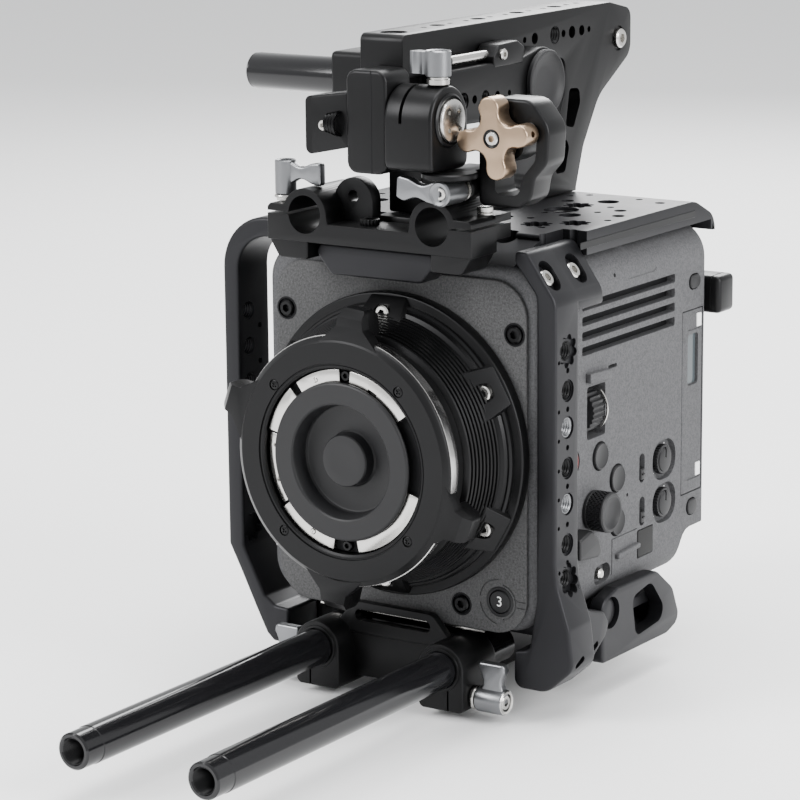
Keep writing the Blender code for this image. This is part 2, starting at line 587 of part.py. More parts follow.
def handle():
    outline = rounded([
        (-10, 147, 3), (-10, BEAM_TOP, 3), (150, BEAM_TOP, 0), (168, 160, 5), (168, 141, 7), (141, 125, 16),
        (128, 105, 12), (122, 88, 0), (122, 86.4, 0), (86, 86.4, 0), (86, 92, 0), (96, 94, 4),
        (103, 108, 8), (112, 128, 6), (113, 144, 4), (60, 147, 3)])
    window_low = rounded([(104.5, 95.5, 1.5), (112.5, 95.5, 2), (116, 106, 3), (113, 110, 2),
                          (108, 107, 2)], 2)
    window_high = rounded([(113, 115, 1.5), (119.5, 113.5, 2), (125, 124, 3), (124, 130, 2),
                           (116, 130.5, 2)], 2)
    frame = slab("handle", "yz", [outline, window_low, window_high], -HANDLE_HALF, HANDLE_HALF)
    join(frame, box("handle_nose", (-8, 6, 91.9), (8, 16, 150), True, bevel=1),
         box("rod_collar", (-38, 9.2, ROD_ACROSS_Z - 11.5), (-5, 32.4, ROD_ACROSS_Z + 11.3), True, bevel=2))
    soften(frame, 0.8, 1)
    hole(frame, "x", (0, ROD_ACROSS_Y, ROD_ACROSS_Z), ROD_R + 0.15, -60, -12.6, 20)
    hole(frame, "z", (0, -1, 0), 5.5, 158, 180, 12)
    for y in (30, 60, 90, 120):
        hole(frame, "z", (0, y, 0), 3.2, 158, 180, 8)
    for y, radius in ((104, 3.4), (116, 2.2), (125, 2.2)):
        hole(frame, "x", (0, y, 154), radius, 5, 20, 8)
    finish(frame, BLACK, 0.5, 0.7)
    rail = box("handle_rail", (-9, -1.4, PLATE_TOP + GAP), (9, 85.6, 91.5), bevel=0.8, segments=1)
    finish(rail, BLACK, 0.5, 0.7)
    bolt = rod("handle_bolt", "x", (0, 157, 148), 4.2, HANDLE_HALF + GAP, 12.3, sides=14)
    hole(bolt, "x", (0, 157, 148), 2.0, 11.3, 20, 6)
    finish(bolt, (0.65, 0.64, 0.6), 0.25, 1.0)
    arm = rounded([(62, 149, 0), (6, 149, 2), (6, 127, 2), (60, 125.5, 0)]) + arc(ARM_END, 14.5, -120, 110, 14)
    bar = slab("handle_arm", "yz", [arm], HANDLE_HALF + GAP, 20, bevel=0.8)
    for y, radius in ((18, 3.6), (26, 1.8), (34, 2.9), (43, 1.8)):
        hole(bar, "x", (0, y, 136.0), radius, 16, 30, 14)
    finish(bar, BLACK, 0.5, 0.7)
    disc = turned("arm_disc", "x", (20.4, *ARM_END), [
        (0, 1.0), (9.5, 1.2), (12, 2.2), (13.2, 2.2), (13.6, 1.6), (13.6, 0), (0, 0)], 24)
    finish(disc, BLACK, 0.35, 0.5)


def cross_rod():
    """The rod that slides sideways in the collar on the handle's nose."""
    shaft = rod("cross_rod", "x", (0, ROD_ACROSS_Y, ROD_ACROSS_Z), ROD_R, -83.5, -14, sides=28, bevel=1.2)
    hole(shaft, "x", (0, ROD_ACROSS_Y, ROD_ACROSS_Z), 4.2, -90, -76, 16)
    finish(shaft, (0.012, 0.012, 0.014), 0.15)


# Viewfinder bracket -----------------------------------------------------------

def bracket_arm():
    outer = rounded([(42.4, 100, 2), (60, 100, 4), (66, 104, 4), (67.5, 112, 3), (73, 118, 4), (74, 132, 8),
                     (66, 142, 6), (50, 142, 6), (42.4, 136, 5)])
    window = rounded([(50, 106, 2), (60, 106, 2.5), (62, 113, 2), (50, 113, 2)], 2)
    finish(slab("bracket_arm", "xz", [outer, window], -7, 7, bevel=1.0), BLACK, 0.45, 0.6)
    x, z = KNOB
    outline = []
    for i in range(4):
        turn = radians(6 + 90 * i)
        tip = (x + 11.5 * cos(turn), z + 11.5 * sin(turn))
        outline += arc(tip, 4.2, 6 + 90 * i - 80, 6 + 90 * i + 80, 5)
    knob = slab("gold_knob", "xz", [outline], -17.5, -8.5, bevel=0.8, origin=(x, -13, z))
    join(knob, rod("knob_stem", "y", (x, 0, z), 6, -9.5, -7 - GAP, True, 20))
    hole(knob, "y", (x, 0, z), 2.6, -20, -15, 6)
    finish(knob, (0.62, 0.5, 0.38), 0.3, 1.0)


def swivel():
    x = SWIVEL_X
    base = box("swivel_base", (x - 6, FINDER_Y, 111.6), (42.1, 6, 114.0), bevel=0.4, segments=1)
    join(base, rod("skirt", "z", (x, FINDER_Y, 0), 11, 111.4, 113.8, True, 28),
         box("collar_block", (31, -1, 103.4), (42.1, 6, 112.5), True, bevel=0.8),
         rod("collar", "y", (LEVER_X, 0, LEVER_Z), 4.2, -5.4, 0, True, 20))
    finish(base, BLACK, 0.45, 0.6)
    half = 13.2
    back, front = FINDER_Y + half, FINDER_Y - half
    housing = rounded([(front, 114.3, 4), (back, 114.3, 4), (back, TILT_Z, 0)]) + arc(
        (FINDER_Y, TILT_Z), half, 0, 180, 10)[1:]
    rotor = slab("tilt_housing", "yz", [housing], 14.4, 36, bevel=1.0)
    pocket(rotor, (21, -40, TILT_Z + 3), (23, 20, 160))
    finish(rotor, BLACK, 0.4, 0.6)
    disc = rod("tilt_disc", "x", (0, FINDER_Y, TILT_Z), 8.4, 36 + GAP, 38.3, sides=20)
    for turn in range(45, 405, 90):
        spot = (0, FINDER_Y + 4.6 * cos(radians(turn)), TILT_Z + 4.6 * sin(radians(turn)))
        hole(disc, "x", spot, 0.9, 37, 40, 6)
    finish(disc, (0.6, 0.6, 0.6), 0.3, 1.0)
    x, y = TILT_LEVER
    wing = ([(x, y - 2.5), (x - 7, y - 2), (x - 12, y - 3.5), (x - 12, y + 3), (x - 7, y + 2), (x, y + 2.5)],
            152, 160, (159, 170))
    lever("tilt_lever", "z", (x, y, 0), 5.0, 147.1, 160, wing, "xy", (0.6, 0.6, 0.6))
    x, z = LEVER_X, LEVER_Z
    wing = ([(x, z + 3), (x - 10, z + 2.5), (x - 20, z + 5), (x - 20, z), (x - 10, z - 2), (x, z - 3)],
            -26.3, -21.5, (-30, -25.5))
    lever("swivel_lever", "y", (x, 0, z), 4.9, -26.5, -5.8, wing, "xz", (0.6, 0.6, 0.6))


def finder_holder():
    """The block that a viewfinder's dovetail slides on to, and the jaw that grips it."""
    outline = rounded(block(-4.5, 112, 14.1, 152, 4), 3)
    finish(slab("finder_block", "xz", [outline], -28, -10.5, bevel=0.8, origin=(0, FINDER_Y, TILT_Z)),
           BLACK, 0.5, 0.6)
    wedge = rounded([(-26, 117, 2), (-4.9, 122, 0), (-4.9, 143, 0), (-26, 140, 2)], 2)
    finish(slab("finder_jaw", "xz", [wedge], -26, -13, bevel=0.8), BLACK, 0.5, 0.6)


camera_body()
front_panel()
side_controls()
inner_parts()
battery_plate()
mount_base()
lock_ring()
mount_cap()
cage_right()
cage_left()
top_plate()
base_plate()
lower_clamp()
rods()
tripod_block()
lower_levers()
upper_clamp()
handle()
cross_rod()
bracket_arm()
swivel()
finder_holder()
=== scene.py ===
"""Cinema camera rig: the looks of a boxy cinema camera in its cage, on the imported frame.

Sizes in the operators are millimetres about the lens axis, with Y = 0 at the front panel:
X to the right of a viewer who faces the lens, Y to the back, Z up. spot() turns them into the frame's metres.
"""

from math import cos, pi, radians, sin

import bpy
from bpy.props import FloatProperty, FloatVectorProperty, IntProperty, PointerProperty
from mathutils import Matrix, Vector


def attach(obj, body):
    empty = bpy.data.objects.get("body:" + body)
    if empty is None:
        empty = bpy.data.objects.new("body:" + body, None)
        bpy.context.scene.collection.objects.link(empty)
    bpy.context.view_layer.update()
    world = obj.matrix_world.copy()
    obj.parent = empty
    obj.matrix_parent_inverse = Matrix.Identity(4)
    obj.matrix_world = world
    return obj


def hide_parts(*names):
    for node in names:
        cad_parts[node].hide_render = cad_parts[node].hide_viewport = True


bl_info = {
    "name": "Cinema Camera Rig",
    "version": (1, 0, 0),
    "blender": (4, 5, 0),
    "location": "View3D > Sidebar > Camera Rig",
    "description": "Models the visible pieces of a cinema camera rig on its packed frame",
    "category": "Object",
}

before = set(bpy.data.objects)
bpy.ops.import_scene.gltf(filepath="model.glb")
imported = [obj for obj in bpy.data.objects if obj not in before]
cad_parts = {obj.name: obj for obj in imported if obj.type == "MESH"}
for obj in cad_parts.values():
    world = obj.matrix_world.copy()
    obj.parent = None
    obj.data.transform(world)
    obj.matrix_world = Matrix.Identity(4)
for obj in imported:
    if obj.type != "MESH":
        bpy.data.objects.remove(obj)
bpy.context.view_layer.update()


# Settings ------------------------------------------------------------------

def length(label, description, millimetres):
    return FloatProperty(name=label, description=description, default=millimetres / 1000, unit="LENGTH",
                         min=0.0, precision=4)


def colour(label, description, value):
    return FloatVectorProperty(name=label, description=description, default=value, subtype="COLOR", size=3,
                               min=0.0, max=1.0)


class RigSizes(bpy.types.PropertyGroup):
    """Sizes that the pieces share."""

    rod: length("Rod radius", "Radius of the support rods", 7.5)
    thread_pitch: length("Thread pitch", "Spacing of the thread turns in the tapped holes", 1.1)
    mount_ribs: IntProperty(name="Mount ribs", description="Ribs on each flat of the mount's cone", default=9,
                            min=2, max=20)
    turns: IntProperty(name="Round steps", description="Steps in a large turned piece", default=96, min=24,
        max=256)


class RigColours(bpy.types.PropertyGroup):
    """Colours of the finishes."""

    body: colour("Body paint", "Speckled paint of the body's sides", (0.068, 0.068, 0.071))
    panel: colour("Panel paint", "Darker speckled paint of the front panel", (0.06, 0.06, 0.061))
    black: colour("Black anodised", "Satin black of the clamps, the handle and the mount",
        (0.006, 0.006, 0.0065))
    cage: colour("Cage", "Bead-blasted dark grey of the cage", (0.014, 0.014, 0.016))
    plastic: colour("Plastic", "Matte black of the cap and buttons", (0.007, 0.007, 0.0078))
    rod: colour("Rods", "Gloss black of the rods", (0.008, 0.008, 0.009))
    steel: colour("Levers", "Blasted steel of the thumb levers", (0.2, 0.204, 0.212))
    bright: colour("Bright metal", "Nickel of the flange, screws and discs", (0.55, 0.54, 0.52))
    gold: colour("Gold knob", "Champagne anodised knob", (0.36, 0.26, 0.18))
    cream: colour("Cream tab", "Warm white release tab", (0.5, 0.43, 0.35))


# Places and outlines -------------------------------------------------------------

PANEL_Y, LENS_Z = 60.0, 103.0
AXES = {"x": Vector((1, 0, 0)), "y": Vector((0, 1, 0)), "z": Vector((0, 0, 1))}


def spot(x, y, z):
    return Vector((x, y - PANEL_Y, z + LENS_Z)) / 1000


def on_plane(plane, u, v, depth):
    """The place of an outline's point (u, v) on a plane at a depth along the plane's normal."""
    return spot(*{"xz": (u, depth, v), "yz": (depth, u, v), "xy": (u, v, depth)}[plane])


def arc(centre, radius, start, end, steps):
    """Points on an arc, in degrees, both ends included."""
    turns = [radians(start + (end - start) * i / steps) for i in range(steps + 1)]
    return [(centre[0] + radius * cos(t), centre[1] + radius * sin(t)) for t in turns]


def ring_of(centre, radius, steps=24):
    return arc(centre, radius, 0, 360 - 360 / steps, steps - 1)


def rounded(corners, steps=6):
    """An outline from corners (u, v, radius), each rounded by an arc that touches both its sides."""
    points = []
    for i, (u, v, radius) in enumerate(corners):
        here = Vector((u, v))
        before = Vector(corners[i - 1][:2]) - here
        after = Vector(corners[(i + 1) % len(corners)][:2]) - here
        if not radius:
            points.append((u, v))
            continue
        turn = before.angle(after)
        reach = radius / abs(sin(turn / 2) / cos(turn / 2))
        centre = here + (before.normalized() + after.normalized()).normalized() * radius / sin(turn / 2)
        first = here + before.normalized() * reach - centre
        last = here + after.normalized() * reach - centre
        swing = first.angle_signed(last)
        for k in range(steps + 1):
            points.append(tuple(centre + Matrix.Rotation(-swing * k / steps, 2) @ first))
    return points


def oblong(u0, v0, u1, v1, radius=0.0, steps=6):
    """An upright rectangle with rounded corners."""
    return rounded([(u0, v0, radius), (u1, v0, radius), (u1, v1, radius), (u0, v1, radius)], steps)


def gear(centre, inner, outer, teeth, turn=0.0):
    """A scalloped outline, as round a tapped hole with teeth against twisting."""
    points = []
    for k in range(teeth):
        for step in range(8):
            radius = inner + (outer - inner) * sin(pi * step / 8)
            t = 2 * pi * (k + step / 8) / teeth + turn
            points.append((centre[0] + radius * cos(t), centre[1] + radius * sin(t)))
    return points


# Modelling tools --------------------------------------------------------------

def clear():
    """Leaves edit mode and deselects everything, so that the next operator acts only on what it is given."""
    if bpy.context.object and bpy.context.object.mode != "OBJECT":
        bpy.ops.object.mode_set(mode="OBJECT")
    bpy.ops.object.select_all(action="DESELECT")


def pick(*pieces):
    clear()
    for piece in pieces:
        piece.select_set(True)
    bpy.context.view_layer.objects.active = pieces[0]


def named(name):
    piece = bpy.context.object
    piece.name = name
    piece.data.name = name
    return piece


def close_up(merge=0.000001):
    """Merges doubles and turns all faces outwards, in edit mode, then leaves it."""
    bpy.ops.mesh.select_all(action="SELECT")
    bpy.ops.mesh.remove_doubles(threshold=merge)
    bpy.ops.mesh.delete_loose(use_verts=True, use_edges=True, use_faces=False)
    bpy.ops.mesh.select_all(action="SELECT")
    bpy.ops.mesh.normals_make_consistent(inside=False)
    bpy.ops.object.mode_set(mode="OBJECT")


def plate(name, plane, outline, low, high):
    """A flat outline extruded from one depth to another."""
    clear()
    bpy.ops.mesh.primitive_circle_add(vertices=len(outline), radius=0.01, fill_type="NGON")
    piece = named(name)
    for vertex, (u, v) in zip(piece.data.vertices, outline):
        vertex.co = on_plane(plane, u, v, low)
    bpy.ops.object.mode_set(mode="EDIT")
    bpy.ops.mesh.select_all(action="SELECT")
    shift = on_plane(plane, 0, 0, high) - on_plane(plane, 0, 0, low)
    bpy.ops.mesh.extrude_region_move(TRANSFORM_OT_translate={"value": shift})
    close_up()
    return piece


def lathe(name, axis, centre, profile, steps=64):
    """A profile of (radius, height) spun about an axis. On the Y axis, heights count forwards."""
    clear()
    bpy.ops.mesh.primitive_circle_add(vertices=len(profile), radius=0.01, fill_type="NOTHING")
    piece = named(name)
    along = AXES[axis] * (-1 if axis == "y" else 1)
    side = AXES["z" if axis != "z" else "x"]
    middle = spot(*centre)
    for vertex, (radius, height) in zip(piece.data.vertices, profile):
        vertex.co = middle + (along * height + side * radius) / 1000
    bpy.ops.object.mode_set(mode="EDIT")
    bpy.ops.mesh.select_all(action="SELECT")
    bpy.ops.mesh.spin(steps=steps, angle=2 * pi, center=middle, axis=along)
    close_up()
    return piece


def block(name, low, high, edge=0.0, segments=3):
    """A box between two corners, with rounded edges."""
    clear()
    low, high = spot(*low), spot(*high)
    bpy.ops.mesh.primitive_cube_add(size=1, location=(low + high) / 2, scale=high - low)
    piece = named(name)
    bpy.ops.object.transform_apply(location=True, rotation=True, scale=True)
    if edge:
        soften(piece, edge, segments)
    return piece


def bar(name, axis, centre, radius, low, high, sides=32):
    """A straight cylinder along an axis, from one place on it to another."""
    clear()
    middle = list(centre)
    middle["xyz".index(axis)] = (low + high) / 2
    turn = {"x": (0, pi / 2, 0), "y": (pi / 2, 0, 0), "z": (0, 0, 0)}[axis]
    bpy.ops.mesh.primitive_cylinder_add(vertices=sides, radius=radius / 1000, depth=(high - low) / 1000,
                                        location=spot(*middle), rotation=turn)
    piece = named(name)
    bpy.ops.object.transform_apply(location=True, rotation=True, scale=True)
    return piece


def apply_modifier(piece, kind, **settings):
    pick(piece)
    change = piece.modifiers.new("shape", kind)
    for key, value in settings.items():
        setattr(change, key, value)
    bpy.ops.object.modifier_apply(modifier=change.name)
    return piece


def soften(piece, width, segments=3, angle=40):
    """Rounds the edges that are sharper than an angle."""
    return apply_modifier(piece, "BEVEL", width=width / 1000, segments=segments, limit_method="ANGLE",
                          angle_limit=radians(angle))


def merged(first, *others):
    """One object with the shells of several."""
    if others:
        pick(first, *others)
        bpy.ops.object.join()
    return first


def cut(piece, *tools, self_crossing=False):
    """Cuts the tools out of the piece, all at once."""
    tool = merged(*tools)
    apply_modifier(piece, "BOOLEAN", operation="DIFFERENCE", object=tool, solver="EXACT",
        use_self=self_crossing)
    bpy.data.objects.remove(tool)
    return piece


def fuse(piece, *others):
    """Joins solids into one solid."""
    for other in others:
        apply_modifier(piece, "BOOLEAN", operation="UNION", object=other, solver="EXACT")
        bpy.data.objects.remove(other)
    return piece


def slice_off(piece, place, normal):
    """Cuts away what lies beyond a plane, and closes the cut."""
    pick(piece)
    bpy.ops.object.mode_set(mode="EDIT")
    bpy.ops.mesh.select_all(action="SELECT")
    bpy.ops.mesh.bisect(plane_co=place, plane_no=normal, use_fill=True, clear_outer=True)
    close_up()
    return piece


def copy_of(piece, name, matrix):
    """A copy with its own mesh, moved by a matrix."""
    pick(piece)
    bpy.ops.object.duplicate(linked=False)
    double = named(name)
    double.data.transform(matrix)
    if matrix.determinant() < 0:
        bpy.ops.object.mode_set(mode="EDIT")
        close_up()
    return double


def mirrored(piece, name):
    """A copy on the other side of the lens axis."""
    return copy_of(piece, name, Matrix.Scale(-1, 4, AXES["x"]))


def turned_about(axis, centre, degrees):
    place = spot(*centre)
    return Matrix.Translation(place) @ Matrix.Rotation(radians(degrees), 4,
        AXES[axis]) @ Matrix.Translation(-place)


def drill(axis, centre, radius, low, high, sides=32):
    return bar("drill", axis, centre, radius, low, high, sides)


def thread(name, axis, centre, radius, low, high, steps=32):
    """The turns of a tapped hole, as a sleeve with a ridged bore."""
    pitch = bpy.context.scene.rig_sizes.thread_pitch * 1000
    count = max(2, int(round((high - low) / pitch)))
    step = (high - low) / count
    inner = []
    for k in range(count):
        inner += [(radius - 0.05, low + step * k), (radius - 0.55, low + step * (k + 0.5))]
    inner.append((radius - 0.05, high))
    sign = -1 if axis == "y" else 1
    profile = [(radius + 0.25, sign * high), (radius + 0.25, sign * low)] + [(r, sign * h) for r, h in inner]
    return lathe(name, axis, centre, profile, steps)


def aim(direction):
    """Turns local +Z to a direction."""
    return Vector(direction).to_track_quat("Z", "Y").to_matrix().to_4x4()


def screw(name, place, direction, radius, kind="socket", height=1.6, turn=0.0):
    """A screw head at a place, looking along a direction. The kind is socket, cross or slot."""
    low = -0.6
    if kind == "socket":
        profile = [(0, height), (radius * 0.84, height), (radius, height - radius * 0.16), (radius, low),
            (0, low)]
    else:
        profile = [(0, height), (radius * 0.8, height), (radius * 0.95, height - 0.15),
            (radius, height * 0.4),
                   (radius, low), (0, low)]
    head = lathe(name, "z", (0, PANEL_Y, -LENS_Z), profile, 32)
    centre = (0, PANEL_Y)
    if kind == "socket":
        tools = [bar("tool", "z", (*centre, 0), radius * 0.52, height - radius * 0.55 - LENS_Z,
                     height + 1 - LENS_Z, 6)]
    elif kind == "cross":
        reach = radius * 0.58
        tools = [block("tool", (-reach, PANEL_Y - 0.17 * radius, height - 0.45 - LENS_Z),
                       (reach, PANEL_Y + 0.17 * radius, height + 1 - LENS_Z))]
        cut(head, *tools)
        tools = [block("tool", (-0.17 * radius, PANEL_Y - reach, height - 0.45 - LENS_Z),
                       (0.17 * radius, PANEL_Y + reach, height + 1 - LENS_Z))]
    else:
        tools = [block("tool", (-radius * 1.2, PANEL_Y - 0.14 * radius, height - 0.5 - LENS_Z),
                       (radius * 1.2, PANEL_Y + 0.14 * radius, height + 1 - LENS_Z))]
    cut(head, *tools)
    head.data.transform(Matrix.Translation(spot(*place)) @ aim(direction) @ Matrix.Rotation(radians(turn), 4,
        "Z"))
    return head


def finish(piece, material, body, *nodes, angle=32):
    """Shades a piece, gives it its finish, and makes it ride on its body in place of its solids."""
    piece.data.materials.clear()
    piece.data.materials.append(bpy.data.materials[material + "_finish"])
    pick(piece)
    bpy.ops.object.shade_smooth_by_angle(angle=radians(angle))
    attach(piece, body)
    if nodes:
        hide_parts(*nodes)
    return piece


def dress(node, material):
    """Gives a carried-over solid its finish."""
    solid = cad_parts[node]
    solid.data.materials.clear()
    solid.data.materials.append(bpy.data.materials[material + "_finish"])


# Finishes --------------------------------------------------------------------


class Wire:
    """One output of a shader node. Arithmetic on it adds Math nodes."""

    def __init__(self, surface, socket):
        self.surface = surface
        self.socket = socket

    def math(self, operation, first, second):
        return self.surface.add("ShaderNodeMath", {"operation": operation}, {0: first, 1: second})

    def __add__(self, other):
        return self.math("ADD", self, other)

    def __sub__(self, other):
        return self.math("SUBTRACT", self, other)

    def __mul__(self, other):
        return self.math("MULTIPLY", self, other)

    def __rsub__(self, other):
        return self.math("SUBTRACT", other, self)

    def __gt__(self, other):
        return self.math("GREATER_THAN", self, other)

    __radd__ = __add__
    __rmul__ = __mul__


class Surface:
    """A material in the making, with its shader and the object's own coordinates."""

    def __init__(self, name):
        self.material = bpy.data.materials.new(name + "_finish")
        self.material.use_nodes = True
        self.tree = self.material.node_tree
        self.shader = self.tree.nodes["Principled BSDF"]
        self.place = self.add("ShaderNodeTexCoord", output="Object")

    def add(self, kind, settings=None, values=None, output=0):
        """Adds a node: its settings first, then the values or links of its sockets."""
        node = self.tree.nodes.new(kind)
        for key, value in (settings or {}).items():
            setattr(node, key, value)
        for key, value in (values or {}).items():
            self.put(node.inputs[key], value)
        return Wire(self, node.outputs[output])

    def put(self, socket, value):
        if isinstance(value, Wire):
            self.tree.links.new(value.socket, socket)
        else:
            socket.default_value = value

    def set(self, **values):
        for key, value in values.items():
            self.put(self.shader.inputs[key.replace("_", " ").title().replace("Ior", "IOR")], value)

    def noise(self, scale, detail=2.0, roughness=0.5, vector=None):
        return self.add("ShaderNodeTexNoise", None, {"Vector": vector or self.place, "Scale": scale,
                                                     "Detail": detail, "Roughness": roughness})

    def spread(self, wire, low, high, bottom=0.0, top=1.0):
        """Maps a range on to another, clamped."""
        return self.add("ShaderNodeMapRange", None, {"Value": wire, "From Min": low, "From Max": high,
                                                     "To Min": bottom, "To Max": top})

    def mix(self, share, first, second):
        return self.add("ShaderNodeMix", {"data_type": "RGBA"}, {0: share, 6: first, 7: second}, 2)

    def stretched(self, x, y, z):
        return self.add("ShaderNodeMapping", None, {"Vector": self.place, "Scale": (x, y, z)})

    def bump(self, height, strength, depth):
        return self.add("ShaderNodeBump", None, {"Strength": strength, "Distance": depth, "Height": height})


def tone(colour, factor=1.0):
    return (*[min(1.0, part * factor) for part in colour], 1.0)


def speckled_paint(name, colour, contrast, scale):
    """Fine textured paint with lighter and darker grains."""
    paint = Surface(name)
    grain = paint.noise(scale, 3, 0.6)
    flecks = paint.noise(scale * 1.9, 1)
    cloud = paint.noise(28, 2)
    light = paint.spread(flecks, 0.56, 0.72)
    dark = paint.spread(grain, 0.34, 0.62)
    base = paint.mix(dark, tone(colour, 1 - contrast), tone(colour, 1 + 0.35 * contrast))
    base = paint.mix(light * 0.6, base, tone(colour, 1 + 1.6 * contrast))
    base = paint.mix(cloud * 0.12, base, tone(colour, 0.8))
    paint.set(base_color=base, roughness=0.55 + 0.2 * grain, specular_ior_level=0.2,
              normal=paint.bump(grain + flecks * 0.6, 0.35, 0.00008))


def anodised(name, colour, roughness, grain_scale=2600, bump=0.12, metallic=0.7, wear=0.1):
    """Blasted and anodised aluminium: fine grain, slight handling marks."""
    metal = Surface(name)
    grain = metal.noise(grain_scale, 2)
    cloud = metal.noise(45, 3)
    marks = metal.noise(190, 4, 0.7, metal.stretched(1, 1, 0.25))
    base = metal.mix(grain * 0.3, tone(colour, 0.85), tone(colour, 1.3))
    base = metal.mix(metal.spread(marks, 0.6, 0.85) * wear, base, tone(colour, 2.2))
    metal.set(base_color=base, roughness=roughness - 0.06 + 0.1 * cloud + 0.06 * grain, metallic=metallic,
              normal=metal.bump(grain, bump, 0.00003))


def machined(name, colour, roughness, bands=(1, 1, 1), scale=900):
    """Bare or plated metal with fine tool marks along one direction."""
    metal = Surface(name)
    marks = metal.noise(scale, 2, 0.5, metal.stretched(*bands))
    cloud = metal.noise(80, 3)
    base = metal.mix(marks * 0.25, tone(colour, 1.05), tone(colour, 0.8))
    base = metal.mix(metal.spread(cloud, 0.55, 0.8) * 0.2, base, tone(colour, 0.7))
    metal.set(base_color=base, roughness=roughness + 0.1 * cloud, metallic=1.0,
              normal=metal.bump(marks, 0.08, 0.00002))


def moulded(name, colour, roughness, scale=1500, bump=0.2):
    """Matte moulded plastic or rubber with a spark-eroded grain."""
    skin = Surface(name)
    grain = skin.noise(scale, 2)
    dust = skin.noise(60, 4, 0.6)
    base = skin.mix(grain * 0.3, tone(colour), tone(colour, 1.5))
    base = skin.mix(skin.spread(dust, 0.55, 0.8) * 0.12, base, tone(colour, 2.0))
    skin.set(base_color=base, roughness=roughness + 0.12 * dust, specular_ior_level=0.3,
        normal=skin.bump(grain, bump, 0.00004))


class RIG_OT_finishes(bpy.types.Operator):
    """Make the rig's finishes"""

    bl_idname = "rig.finishes"
    bl_label = "Finishes"

    def execute(self, context):
        shades = context.scene.rig_colours
        speckled_paint("body_paint", shades.body, 0.36, 1100)
        speckled_paint("panel_paint", shades.panel, 0.42, 1050)
        anodised("black_anodised", shades.black, 0.36)
        anodised("cage_anodised", shades.cage, 0.42, 2200, 0.16)
        anodised("black_screw", shades.black, 0.28)
        # painted shade: this near-black finish stands in for the shade inside the vents, the panel screw
        # wells and the gaps behind the flange wings; it also colours the dark seam on the finder block
        anodised("painted_shade_and_seam", (0.006, 0.006, 0.007), 0.6)
        anodised("lever_steel", shades.steel, 0.3, 2400, 0.1, 0.95, 0.05)
        anodised("gold_anodised", shades.gold, 0.27, 2400, 0.1, 1.0, 0.05)
        anodised("rod_gloss", shades.rod, 0.14, 900, 0.03, 0.3, 0.04)
        machined("bright_metal", shades.bright, 0.2)
        machined("polished_band", (0.62, 0.61, 0.6), 0.12, (1, 30, 1), 120)
        moulded("matte_plastic", shades.plastic, 0.42)
        moulded("seal_rubber", (0.016, 0.016, 0.016), 0.75, 900, 0.35)
        moulded("record_red", (0.11, 0.02, 0.02), 0.4)
        moulded("cream_tab", shades.cream, 0.4)
        moulded("print_white", (0.75, 0.75, 0.75), 0.5)
        moulded("sensor_cover", (0.02, 0.035, 0.035), 0.06, 300, 0.02)
        moulded("filter_glass", (0.05, 0.06, 0.065), 0.05, 300, 0.02)
        return {"FINISHED"}


# Body ------------------------------------------------------------------------

DIALS = ((101.4, -19.9), (101.7, -38.5))
SWITCHES = ((82.7, -19.8), (83.0, -38.2))
SIDE_BUTTONS = ((48.2, -7.6), (62.0, -19.7), (62.0, -38.0))
RECORD = (26.1, -6.3)
FRONT_BUTTON = (47.5, -59.4)
PANEL_SCREWS = ((-54.4, 49.3), (54.4, 49.3), (-29.4, -63.0), (29.4, -63.0))


